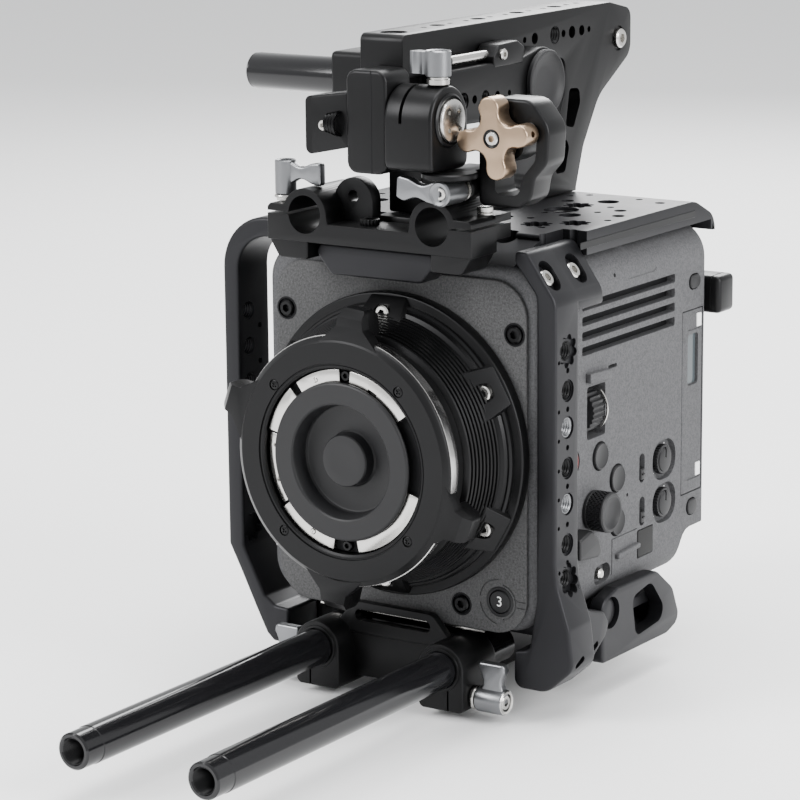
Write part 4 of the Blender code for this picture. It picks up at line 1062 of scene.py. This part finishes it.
class RIG_OT_rods(bpy.types.Operator):
    """Model the rods, their lower clamps and the thumb levers"""

    bl_idname = "rig.rods"
    bl_label = "Rods and Lower Clamps"

    def execute(self, context):
        radius = context.scene.rig_sizes.rod * 1000
        self.clamp(radius)
        rod = lathe("rod_right_bar", "y", (30, 0, -86), [
            (0, 158), (5.0, 158), (5.0, 171.3), (5.5, 172), (6.5, 172), (7.2, 171.3), (7.25, 162.7),
                (radius, 162.3),
            (radius, -27.2), (6.8, -28), (0, -28)], 72)
        twin = copy_of(rod, "rod_left_bar", Matrix.Translation((-0.06, 0, 0)))
        for bar_piece, name, x in ((rod, "rod_right", 30), (twin, "rod_left", -30)):
            finish(bar_piece, "rod_gloss", name, name, angle=25)
            sleeve = thread(name + "_thread", "y", (x, 0, -86), 4.95, -171.4, -158.5, 40)
            finish(sleeve, "black_screw", name)
        self.levers()
        return {"FINISHED"}

    def clamp(self, radius):
        def barrel(x):
            return arc((x, -86), 10.6, 180, 0, 24) + [(x + 10.6, -101), (x + 9.9, -102.4), (x + 8.6, -103),
                                                      (x - 8.6, -103), (x - 9.9, -102.4), (x - 10.6, -101)]
        parts = []
        for x in (-30, 30):
            shell = plate("barrel", "xz", barrel(x), -17, 8)
            soften(shell, 0.9, 3, 25)
            parts.append(shell)
        tie = block("tie", (-25, -5.2, -99.5), (25, 6.5, -79.3), 0.8, 2)
        lip = plate("lip", "xz", rounded([(-33, -81, 0), (33, -81, 0), (28, -78, 3), (19, -67.6, 5),
            (-19, -67.6, 5),
                                          (-28, -78, 3)], 8), -6.2, -2.2)
        soften(lip, 0.6, 3, 25)
        cut(lip, plate("tool", "xz", oblong(-18.3, -75.6, 18.3, -70.8, 2.35, 8), -10, 0))
        clamp = fuse(parts[0], tie, parts[1], lip)
        tools = []
        for x, way in ((-30, -3.5), (30, 3.5)):
            tools.append(drill("y", (x, 0, -86), radius + 0.15, -25, 20, 72))
            tools.append(block("tool", (x + way - 0.4, -25, -110), (x + way + 0.4, 20, -86)))
        for tool in tools:
            cut(clamp, tool)
        finish(clamp, "black_anodised", "rig", "rod_clamp_lower", angle=28)
        seals = [lathe("seal", "y", (x, 0, -86), [(7.7, 17.05), (7.7, 17.5), (8.3, 17.6), (8.9, 17.4),
            (9.0, 17.05)], 64)
                 for x in (-30, 30)]
        finish(merged(*seals), "black_screw", "rig").name = "clamp_lips"

    def levers(self):
        """A blasted hub with a waisted wing, a bright end and a washer, on each side."""
        hub = lathe("lever_hub", "x", (0, -8.5, -97.6), [
            (0, 54.4), (3.5, 54.4), (3.7, 55.6), (4.6, 56.0), (5.0, 55.6), (5.2, 55), (5.2, 43.8),
                (4.6, 43.2),
            (0, 43.2)], 40)
        wing = plate("wing", "xz", rounded([
            (43.6, -98.5, 0), (43.6, -94.5, 2), (46.4, -90.3, 5), (44.4, -85.4, 3), (43.4, -82.0, 1.2),
                (55.4, -82.0, 1.6),
            (55.9, -85.0, 2), (53.6, -89.5, 6), (55.6, -94.5, 2), (55.4, -98.5, 0)], 6), -10.6, -6.4)
        soften(wing, 0.9, 3, 25)
        lever = fuse(hub, wing)
        ring = lathe("lever_end", "x", (0, -8.5, -97.6),
            [(3.65, 54.2), (3.65, 55.8), (4.5, 56.05), (4.95, 55.7),
                                                          (4.95, 54.2)], 40)
        head = screw("lever_screw", (54.6, -8.5, -97.6), (1, 0, 0), 3.2, "socket", 1.0)
        washer = lathe("lever_washer", "x", (0, -8.5, -97.6),
            [(2.5, 41.2), (2.5, 42.9), (4.7, 42.9), (4.9, 42.5),
                                                               (4.9, 41.6), (4.7, 41.2)], 40)
        bright = merged(ring, head, washer)
        left = mirrored(lever, "lever_left")
        left_bright = mirrored(bright, "lever_left_bright")
        for piece, shine, name in ((lever, bright, "rod_lever_right"), (left, left_bright, "rod_lever_left")):
            finish(piece, "lever_steel", name, name)
            finish(shine, "bright_metal", name)


# Upper clamps ------------------------------------------------------------------------

class RIG_OT_upper_clamp(bpy.types.Operator):
    """Model the upper rod clamps, the web and blank plate between them, the lever and the post"""

    bl_idname = "rig.upper_clamp"
    bl_label = "Upper Clamps"

    def execute(self, context):
        left = [(-48, 94.6), (-46.6, 96), (-40.2, 96)] + arc((-30, 92.5), 10.4, 158, 0, 26)
        left += [(-19.0, 89.4)]
        right = [(-x, z) for x, z in reversed(left)]
        clamp = plate("upper_clamp_body", "xz", left + right + [(48, 81.5), (-48, 81.5)], -21, -2.4)
        soften(clamp, 0.9, 3, 25)
        for side in (-1, 1):
            ear = [(-48, 86.3), (-48, 96), (-40.2, 96)] + arc((-30, 92.5), 10.4, 158, 0, 24) + [(-19.6, 86.3)]
            if side > 0:
                ear = [(-x, z) for x, z in reversed(ear)]
            rear = plate("rear", "xz", ear, -3.4, 8)
            soften(rear, 0.9, 3, 25)
            tab = plate("tab", "xz", rounded([(side * 47, 83, 0), (side * 47, 80.8, 1), (side * 43, 74.5, 3),
                                              (side * 29, 74.5, 1), (side * 29, 83, 0)], 5), -20.6, -2.8)
            soften(tab, 0.8, 3, 25)
            fuse(clamp, rear, tab)
        arch = plate("arch", "xz", [(-24.5, 87)] + arc((-14.6, 97.6), 9.3, 180, 0, 20) + [(-5.3, 87)], -9, -3)
        soften(arch, 0.7, 3, 25)
        fuse(clamp, arch)
        cut(clamp, drill("y", (-14.6, 0, 99.6), 2.4, -12, 0, 32))
        for x in (-30, 30):
            cut(clamp, drill("y", (x, 0, 92.5), 7.65, -30, 20, 64))
            cut(clamp, block("tool", (min(x * 1.13, x * 2), -30, 91.95), (max(x * 1.13, x * 2), 20, 93.05)))
        finish(clamp, "black_anodised", "rig", "rod_clamp_upper", angle=28)
        badge = plate("blank_plate", "xz", rounded([
            (-26.2, 80.9, 0), (26.2, 80.9, 0), (28.2, 77, 2), (21.3, 68.6, 3), (-21.3, 68.6, 3),
                (-28.2, 77, 2)], 5),
            -16, -3)
        soften(badge, 1.2, 4, 25)
        finish(badge, "cage_anodised", "rig", "nameplate", angle=28)
        screw_place = (-4.5, -12.5)
        bezel = plate("clamp_screw_rim", "xy", gear(screw_place, 4.0, 3.6, 18), 89.3, 91.8)
        soften(bezel, 0.3, 2, 50)
        cut(bezel, bar("tool", "z", (*screw_place, 0), 1.9, 90.2, 95, 6))
        finish(bezel, "black_screw", "rig")
        self.lever()
        post = lathe("post_body", "z", (43.6, -4, 0),
            [(0, 99.4), (2.4, 99.5), (3.2, 99.2), (3.2, 97.6), (2.9, 97.2),
                                                       (3.2, 96.9), (3.2, 96.4), (0, 96.4)], 40)
        finish(post, "bright_metal", "rig", "clamp_post")
        return {"FINISHED"}

    def lever(self):
        hub = lathe("upper_hub", "z", (-44.4, -13, 0), [
            (0, 108.0), (2.5, 108.0), (2.6, 112.2), (3.9, 112.5), (4.3, 112.0), (4.3, 99.2), (3.9, 98.8),
                (0, 98.8)], 40)
        wing = plate("wing", "xz", rounded([
            (-44.4, 103.0, 0), (-40.5, 103.4, 2), (-36.0, 106.0, 5), (-31.0, 103.8, 4), (-26.3, 102.6, 1.4),
            (-26.3, 112.4, 1.4), (-31.0, 111.8, 4), (-36.0, 109.6, 6), (-40.5, 111.8, 2), (-44.4, 112.0, 0)],
                6),
            -15.0, -11.0)
        soften(wing, 0.8, 3, 25)
        fuse(hub, wing)
        finish(hub, "lever_steel", "rod_lever_upper", "rod_lever_upper")
        washers = [lathe("washer", "z", (-44.4, -13, 0),
            [(0, 98.6), (4.4, 98.6), (4.6, 98.2), (4.6, 97.6), (3.8, 97.4),
                                                         (3.8, 96.4), (0, 96.4)], 40)]
        finish(merged(*washers), "bright_metal", "rod_lever_upper").name = "upper_lever_washer"


# Handle ------------------------------------------------------------------------------

class RIG_OT_handle(bpy.types.Operator):
    """Model the top handle, its rail, side arm, dished disc and the rod across its nose"""

    bl_idname = "rig.handle"
    bl_label = "Handle"

    def execute(self, context):
        outline = rounded([
            (-10, 147, 3), (-10, 164, 3), (150, 164, 6), (168, 160, 5), (168, 141, 8), (141, 125, 22),
            (128, 105, 16), (122, 88, 0), (122, 86.4, 0), (86, 86.4, 0), (86, 92, 2), (96, 94, 5),
            (103, 108, 10), (112, 128, 8), (113, 144, 5), (60, 147, 6)], 8)
        beam = plate("handle_beam", "yz", outline, -10, 10)
        nose = block("nose", (-8, 6, 91.9), (8, 16, 150), 1, 3)
        collar = block("collar", (-38, 9.2, 131), (-5, 32.4, 153.8), 2.2, 4)
        fuse(beam, nose, collar)
        soften(beam, 1.0, 3, 35)
        windows = [
            plate("tool", "yz", rounded([(104.5, 95.5, 1.5), (112.5, 95.5, 2), (116, 106, 4), (113, 110, 2),
                                         (108, 107, 3)], 6), -20, 20),
            plate("tool", "yz", rounded([(113, 115, 1.5), (119.5, 113.5, 2), (125, 124, 4), (124, 130, 3),
                                         (116, 130.5, 2)], 6), -20, 20)]
        tools = windows + [drill("x", (0, 20.7, 142.5), 7.65, -60, -12.6, 56),
            drill("z", (0, -1, 0), 5.5, 158, 180, 40)]
        tools += [drill("z", (0, y, 0), 3.2, 158, 180, 28) for y in (30, 60, 90, 120)]
        tools += [drill("z", (0, y, 0), 1.4, 158, 180, 16) for y in (20, 39, 51, 69, 81, 99, 111, 130, 138)]
        tools += [drill("x", (0, y, 154), radius, 4, 20, 28) for y, radius in (
            (104, 3.8), (111, 1.6), (118, 2.6), (126, 2.2), (132, 1.3), (88, 2.4), (80, 1.3))]
        tools += [drill("x", (0, y, 154), radius, -20, -4, 28) for y, radius in (
            (104, 3.8), (118, 2.6), (126, 2.2), (88, 2.4), (70, 3.8), (52, 2.4))]
        tools += [drill("x", (0, 157, 148), 5.4, 9.2, 20, 40)]
        cut(beam, *tools, self_crossing=True)
        finish(beam, "black_anodised", "rig", "handle", angle=28)
        sleeves = [thread("sleeve", "x", (0, 104, 154), 3.75, 5, 9.6, 28),
            thread("sleeve", "z", (0, -1, 0), 5.4, 159,
                                                                                 163.4, 36)]
        finish(merged(*sleeves), "black_screw", "rig").name = "handle_threads"
        rail = block("rail_bar", (-9, -1.4, 86.3), (9, 85.6, 91.5), 0.8, 2)
        finish(rail, "black_anodised", "rig", "handle_rail")
        head = screw("handle_screw", (9.6, 157, 148), (1, 0, 0), 4.1, "socket", 2.4, 15)
        finish(head, "bright_metal", "rig", "handle_bolt")
        self.arm()
        shaft = lathe("cross_bar", "x", (0, 20.7, 142.5), [
            (0, -14), (7.5, -14), (7.5, -80.6), (7.3, -81.2), (7.3, -82.6), (6.3, -83.5), (4.4, -83.5),
                (4.2, -83.2),
            (4.2, -76), (0, -76)], 72)
        finish(shaft, "rod_gloss", "cross_rod", "cross_rod", angle=25)
        return {"FINISHED"}

    def arm(self):
        outline = rounded([(62, 149, 0), (6, 149, 3), (6, 127, 3), (60, 125.5, 0)], 6)
        outline += arc((78, 137.5), 14.5, -120, 110, 30)
        arm = plate("arm_bar", "yz", outline, 10.4, 20)
        soften(arm, 0.9, 3, 25)
        tools = [drill("x", (0, y, 136), radius, 14, 30, 32) for y,
            radius in ((18, 3.6), (26, 1.7), (34, 2.9),
                                                                               (43, 1.7), (52, 1.2))]
        cut(arm, *tools, drill("x", (0, 78, 137.5), 12.6, 18.6, 30, 64))
        finish(arm, "black_anodised", "rig", "handle_arm", angle=28)
        disc = lathe("arm_dish", "x", (0, 78, 137.5), [
            (0, 20.3), (6, 20.35), (9.6, 20.7), (11.6, 21.9), (12.4, 22.6), (13.2, 22.6), (13.6, 22.1),
                (13.6, 20.5),
            (12.3, 20.2), (12.3, 18.8), (0, 18.8)], 72)
        finish(disc, "matte_plastic", "rig", "arm_disc")
        sleeves = [thread("sleeve", "x", (0, 18, 136), 3.55, 14.4, 19.4, 28),
                   thread("sleeve", "x", (0, 34, 136), 2.85, 14.4, 19.4, 28)]
        finish(merged(*sleeves), "black_screw", "rig").name = "arm_threads"
        clip = plate("arm_clip", "yz", rounded([(40, 147, 1), (62, 147, 1), (64, 153.5, 2), (58, 156.5, 2),
                                                (44, 156.0, 3), (40, 151.5, 1)], 5), 11.0, 20.3)
        soften(clip, 0.8, 3, 25)
        finish(clip, "black_anodised", "rig")
        heads = [screw("head", (20.2, 46, 152.0), (1, 0, 0), 2.3, "socket", 1.5, 10)]
        finish(merged(*heads), "bright_metal", "rig").name = "clip_screw"
        pin = lathe("arm_pin", "y", (15.5, 0, 152.0),
            [(0, -14), (1.9, -14.2), (2.0, -15), (2.0, -40.5), (0, -40.5)], 28)
        finish(pin, "bright_metal", "rig")


# Viewfinder bracket ----------------------------------------------------------------------

class RIG_OT_bracket(bpy.types.Operator):
    """Model the viewfinder bracket: arm, gold knob, swivel, tilt housing, levers, block and jaw"""

    bl_idname = "rig.bracket"
    bl_label = "Viewfinder Bracket"

    def execute(self, context):
        self.arm()
        self.knob()
        self.swivel()
        self.levers()
        self.holder()
        return {"FINISHED"}

    def arm(self):
        outer = rounded([(42.4, 100, 2.5), (60, 100, 5), (66, 104, 5), (67.5, 112, 5), (73, 118, 6),
            (74, 132, 9),
                         (66, 142, 7), (50, 142, 7), (42.4, 136, 6)], 8)
        window = rounded([(50, 105, 2.5), (60.5, 105, 3), (62.3, 112.2, 3), (68, 119, 4), (69, 131, 3),
            (66, 134.5, 2),
                          (63.5, 132, 2), (62.5, 121, 5), (56, 117.5, 2), (50, 117.5, 2)], 6)
        arm = plate("bracket_frame", "xz", outer, -7, 7)
        soften(arm, 1.3, 4, 25)
        cut(arm, plate("tool", "xz", window, -20, 20))
        finish(arm, "black_anodised", "rig", "bracket_arm", angle=28)

    def knob(self):
        x, z = 55.0, 127.8
        outline = []
        for k in range(4):
            heading = 8 + 90 * k
            t = radians(heading)
            tip = (x + 11.5 * cos(t), z + 11.5 * sin(t))
            outline += arc(tip, 4.4, heading - 104, heading + 104, 14)
            u = radians(heading + 45)
            hollow = (x + 12.4 * cos(u), z + 12.4 * sin(u))
            outline += arc(hollow, 4.8, heading - 76, heading - 194, 10)
        body = plate("gold_star", "xz", outline, -17.5, -8.5)
        soften(body, 0.8, 4, 30)
        ends = []
        for k in range(4):
            t = radians(8 + 90 * k)
            hole = bar("tool", "x", (0, -13, z), 1.25, x + 12.5, x + 17, 24)
            ends.append(copy_of(hole, "tool", turned_about("y", (x, -13, z), -(8 + 90 * k))))
            bpy.data.objects.remove(hole)
        cut(body, *ends)
        cut(body, drill("y", (x, 0, z), 3.7, -20, -16.4, 40))
        finish(body, "gold_anodised", "gold_knob", "gold_knob")
        stem = bar("knob_stem", "y", (x, 0, z), 6, -8.6, -7.3, 40)
        soften(stem, 0.3, 2)
        collar = lathe("knob_collar", "y", (x, 0, z),
            [(2.9, 16.2), (2.9, 17.5), (3.3, 17.7), (3.65, 17.5), (3.65, 16.2)],
                       40)
        finish(merged(stem, collar), "black_screw", "gold_knob").name = "knob_stem"
        finish(screw("knob_screw", (x, -16.4, z), (0, -1, 0), 2.8, "socket", 1.3, 20), "bright_metal",
            "gold_knob")

    def swivel(self):
        base = block("swivel_foot", (30, -17, 111.6), (42.1, 6, 114.0), 0.4, 2)
        fuse(base, lathe("skirt", "z", (36, -17, 0),
            [(0, 113.9), (10.4, 113.9), (11, 113.4), (11, 111.9), (10.4, 111.4),
                                                     (0, 111.4)], 64),
             block("collar_block", (31, -1, 103.4), (42.1, 6, 112.5), 1.0, 3),
             bar("collar", "y", (37, 0, 106.4), 4.2, -5.4, 0, 40))
        finish(base, "black_anodised", "rig", "swivel_base", angle=28)
        outline = rounded([(-30.2, 114.3, 4), (-3.8, 114.3, 4), (-3.8, 133.5, 0), (-30.2, 133.5, 0)], 6)[:-1]
        outline += arc((-17, 133.5), 13.2, 0, 180, 30)[1:]
        rotor = plate("tilt_shell", "yz", outline, 14.4, 36)
        soften(rotor, 1.4, 4, 25)
        cut(rotor, plate("tool", "yz", [(-40, 131), (-4, 137.5), (10, 160), (-40, 160)], 21.3, 22.7))
        cut(rotor, drill("x", (0, -17, 133.5), 9.3, 35.0, 40, 64))
        finish(rotor, "black_anodised", "swivel", "tilt_housing", angle=28)
        disc = lathe("hinge_disc", "x", (0, -17, 133.5),
            [(0, 38.2), (7.4, 38.2), (8.2, 37.8), (8.4, 37.0), (8.4, 35.2),
                                                         (0, 35.2)], 64)
        spots = []
        for k in range(4):
            t = radians(45 + 90 * k)
            spots.append(drill("x", (0, -17 + 4.8 * cos(t), 133.5 + 4.8 * sin(t)), 0.95, 37, 40, 20))
        cut(disc, *spots)
        finish(disc, "bright_metal", "swivel", "tilt_disc")
        ring = lathe("hinge_ring", "x", (0, -17, 133.5),
            [(8.7, 36.7), (9.6, 36.9), (10.4, 36.4), (10.4, 35.7),
                                                         (8.7, 35.7)], 64)
        finish(ring, "black_screw", "swivel")

    def levers(self):
        hub = lathe("tilt_hub", "z", (31, -17, 0), [(0, 158.6), (3.6, 158.6), (3.7, 159.7), (4.6, 160),
            (5.0, 159.6),
                                                    (5.0, 150.4), (4.6, 150.0), (0, 150.0)], 40)
        wing = plate("wing", "xy", rounded([(31, -21.4, 0), (26, -20.6, 2), (23.5, -19.4, 4),
            (19, -21.6, 2.4),
                                            (19, -12.8, 2.4), (24, -15.0, 4), (28, -13.4, 2), (31, -12.8, 0)],
                                                6),
                     151.0, 159.4)
        soften(wing, 0.8, 3, 25)
        fuse(hub, wing)
        finish(hub, "lever_steel", "tilt_lever", "tilt_lever")
        collar = lathe("tilt_collar", "z", (31, -17, 0),
            [(0, 150.2), (3.8, 150.2), (3.8, 149.2), (4.4, 149.0),
                                                         (4.4, 147.2), (0, 147.2)], 40)
        finish(collar, "bright_metal", "tilt_lever")
        hub = lathe("swivel_hub", "y", (37, 0, 106.4),
            [(0, 25.0), (3.0, 25.0), (3.1, 26.2), (4.3, 26.5), (4.9, 26.0),
                                                        (4.9, 13.4), (4.5, 13.0), (0, 13.0)], 40)
        wing = plate("wing", "xz", rounded([(37, 101.8, 0), (31.5, 102.6, 3), (26, 104.6, 6),
            (20.5, 102.4, 3),
                                            (17, 104.0, 1), (17.6, 112.4, 1.4), (23, 111.4, 4),
                                                (29, 108.8, 6),
                                            (34, 110.8, 3), (37, 111.0, 0)], 6), -26.2, -21.7)
        soften(wing, 0.8, 3, 25)
        fuse(hub, wing)
        finish(hub, "lever_steel", "swivel_lever", "swivel_lever")
        rings = [lathe("ring", "y", (37, 0, 106.4),
            [(0, 12.9), (4.5, 12.9), (4.5, 11.9), (3.9, 11.7), (3.9, 10.9),
                                                     (4.6, 10.7), (4.6, 9.9), (0, 9.9)], 40),
                 screw("ring", (37, -25.2, 106.4), (0, -1, 0), 2.6, "socket", 0.9)]
        finish(merged(*rings), "bright_metal", "swivel_lever").name = "swivel_lever_bright"
        collar = lathe("swivel_lever_collar", "y", (37, 0, 106.4),
            [(0, 9.8), (4.8, 9.8), (5.0, 9.4), (5.0, 6.0),
                                                                   (0, 6.0)], 40)
        finish(collar, "black_screw", "swivel_lever")

    def holder(self):
        """The viewfinder's dovetail block, and the sprung jaw beside it."""
        body = plate("holder_block", "xz", oblong(-4.5, 112, 14.1, 152, 4.5, 8), -28, -10.5)
        soften(body, 1.3, 4, 25)
        cut(body, plate("tool", "xz", oblong(-5.2, 121, -1.4, 143, 0.4, 2), -26, -9))
        finish(body, "black_anodised", "finder_block", "finder_block", angle=28)
        seam = plate("block_seam", "xz", oblong(7.0, 112.2, 7.5, 151.8, 0.1, 1), -28.08, -27)
        finish(seam, "painted_shade_and_seam", "finder_block")
        jaw = plate("jaw_wedge", "xz", rounded([(-26, 117, 2.6), (-4.9, 121.4, 1), (-4.9, 143, 1),
            (-26, 140, 2.6)], 6),
                    -26, -13)
        soften(jaw, 1.0, 3, 25)
        cut(jaw, plate("tool", "xz", [(-30, 110), (-22, 110), (-22, 150), (-30, 150)], -30, -24.6))
        finish(jaw, "black_anodised", "finder_jaw", "finder_jaw", angle=28)
        coils = [lathe("coil", "x", (0, -26.4, 130.5), [(r, -8 - 1.6 * k), (r - 0.5, -8.6 - 1.6 * k),
                                                        (r, -9.2 - 1.6 * k), (r - 0.8, -9.2 - 1.6 * k),
                                                        (r - 0.8, -8 - 1.6 * k)], 32)
                 for k, r in enumerate((5.0, 4.6, 4.2, 3.8))]
        finish(merged(*coils), "black_screw", "finder_jaw").name = "jaw_spring"
        finish(screw("jaw_screw", (-16.4, -26.0, 129.4), (0, -1, 0), 2.0, "socket", 1.2), "bright_metal",
            "finder_jaw")


# Battery plate and the parts inside -----------------------------------------------------

class RIG_OT_inside(bpy.types.Operator):
    """Model the battery plate, and give the sensor and the filter their finish"""

    bl_idname = "rig.inside"
    bl_label = "Rear and Inside"

    def execute(self, context):
        bar_piece = block("battery_bar", (-70.5, 138.3, 36), (70.5, 152, 52), 2.2, 4)
        mount = block("mount", (-40, 138.3, -45), (40, 146, 30), 1.5, 3)
        cut(mount, block("tool", (-20, 141, -38), (20, 150, 12), 1, 2))
        neck = block("neck", (-30, 138.3, 20), (30, 144, 45), 0.8, 2)
        pins = [block("pin", (x - 1.4, 142, 16), (x + 1.4, 146.6, 22), 0.3, 2) for x in (-12, -4, 4, 12)]
        grooves = [block("tool", (side * 66.2 - 0.3, 137, 35), (side * 66.2 + 0.3, 153, 53)) for side in (-1,
            1)]
        cut(bar_piece, *grooves)
        core = block("bar_core", (-69.5, 138.6, 36.6), (69.5, 151.3, 51.4), 1.5, 2)
        plate_piece = merged(mount, neck, bar_piece, core)
        finish(plate_piece, "black_anodised", "rig", "battery_plate")
        finish(merged(*pins), "gold_anodised", "rig").name = "battery_pins"
        rear = plate("rear_display", "xz", oblong(-48, -34, 48, 28, 3, 5), 138.0, 138.25)
        finish(rear, "matte_plastic", "rig")
        dress("image_sensor", "sensor_cover")
        dress("nd_filter", "filter_glass")
        return {"FINISHED"}


# Stage -------------------------------------------------------------------------

class RIG_OT_stage(bpy.types.Operator):
    """Set the pale floor, the soft lights and the camera"""

    bl_idname = "rig.stage"
    bl_label = "Stage"

    def execute(self, context):
        clear()
        bpy.ops.mesh.primitive_plane_add(size=12, location=(0, 0, -0.0035))
        floor = named("studio_floor")
        bpy.ops.object.transform_apply(location=True, rotation=True, scale=True)
        paper = Surface("studio_paper")
        fibre = paper.noise(300, 2)
        paper.set(base_color=paper.mix(fibre * 0.1, tone((0.87, 0.87, 0.87)), tone((0.8, 0.8, 0.8))),
            roughness=0.75)
        floor.data.materials.append(paper.material)
        world = bpy.data.worlds.new("studio")
        context.scene.world = world
        world.use_nodes = True
        world.node_tree.nodes["Background"].inputs["Color"].default_value = (0.93, 0.94, 0.95, 1)
        world.node_tree.nodes["Background"].inputs["Strength"].default_value = 1.2
        for name, place, size, power in (
                ("key", (-0.9, -1.3, 1.1), 0.7, 34), ("side", (1.5, -0.1, 0.75), 0.8, 34),
                ("top", (0.1, 0.1, 1.5), 0.9, 30), ("rear", (-0.5, 1.3, 1.0), 0.7, 24)):
            self.lamp(name, Vector(place), size, power)
        self.camera(context)
        return {"FINISHED"}

    def lamp(self, name, place, size, power):
        clear()
        direction = place - Vector((0, 0, 0.13))
        bpy.ops.object.light_add(type="AREA", location=place,
            rotation=direction.to_track_quat("Z", "Y").to_euler())
        light = bpy.context.object
        light.name = name
        light.data.shape = "RECTANGLE"
        light.data.size = size
        light.data.size_y = size * 1.3
        light.data.energy = power

    def camera(self, context):
        """Looks down on the rig's front and side, from about 34 degrees round and 12.5 degrees up."""
        around, above, roll = radians(33.90), radians(12.54), radians(-0.54)
        back = Vector((sin(around) * cos(above), -cos(around) * cos(above), sin(above)))
        right = Vector((cos(around), sin(around), 0))
        up = right.cross(-back)
        level = right * cos(roll) + up * sin(roll)
        upright = up * cos(roll) - right * sin(roll)
        data = bpy.data.cameras.new("camera")
        data.lens = 138.3
        data.sensor_width = 36
        data.clip_end = 30
        viewer = bpy.data.objects.new("camera", data)
        context.scene.collection.objects.link(viewer)
        turn = Matrix((level, upright, back)).transposed().to_4x4()
        viewer.matrix_world = Matrix.Translation((0.66926, -1.05507, 0.38686)) @ turn
        context.scene.camera = viewer


# Panel and registration ----------------------------------------------------------

STEPS = (RIG_OT_finishes, RIG_OT_body, RIG_OT_front_panel, RIG_OT_side_controls, RIG_OT_mount, RIG_OT_cage,
         RIG_OT_rods, RIG_OT_upper_clamp, RIG_OT_handle, RIG_OT_bracket, RIG_OT_inside, RIG_OT_stage)


class RIG_PT_panel(bpy.types.Panel):
    """Lists the rig's sizes, colours and pieces."""

    bl_idname = "RIG_PT_panel"
    bl_label = "Camera Rig"
    bl_space_type = "VIEW_3D"
    bl_region_type = "UI"
    bl_category = "Camera Rig"

    def draw(self, context):
        for settings in (context.scene.rig_sizes, context.scene.rig_colours):
            column = self.layout.column()
            for key in settings.__annotations__:
                column.prop(settings, key)
        for step in STEPS:
            self.layout.operator(step.bl_idname)


CLASSES = (RigSizes, RigColours, *STEPS, RIG_PT_panel)


def register():
    for kind in CLASSES:
        bpy.utils.register_class(kind)
    bpy.types.Scene.rig_sizes = PointerProperty(type=RigSizes)
    bpy.types.Scene.rig_colours = PointerProperty(type=RigColours)


def unregister():
    del bpy.types.Scene.rig_colours
    del bpy.types.Scene.rig_sizes
    for kind in reversed(CLASSES):
        bpy.utils.unregister_class(kind)


def main():
    register()
    for step in STEPS:
        group, action = step.bl_idname.split(".")
        getattr(getattr(bpy.ops, group), action)()
    clear()


if __name__ == "__main__":
    main()
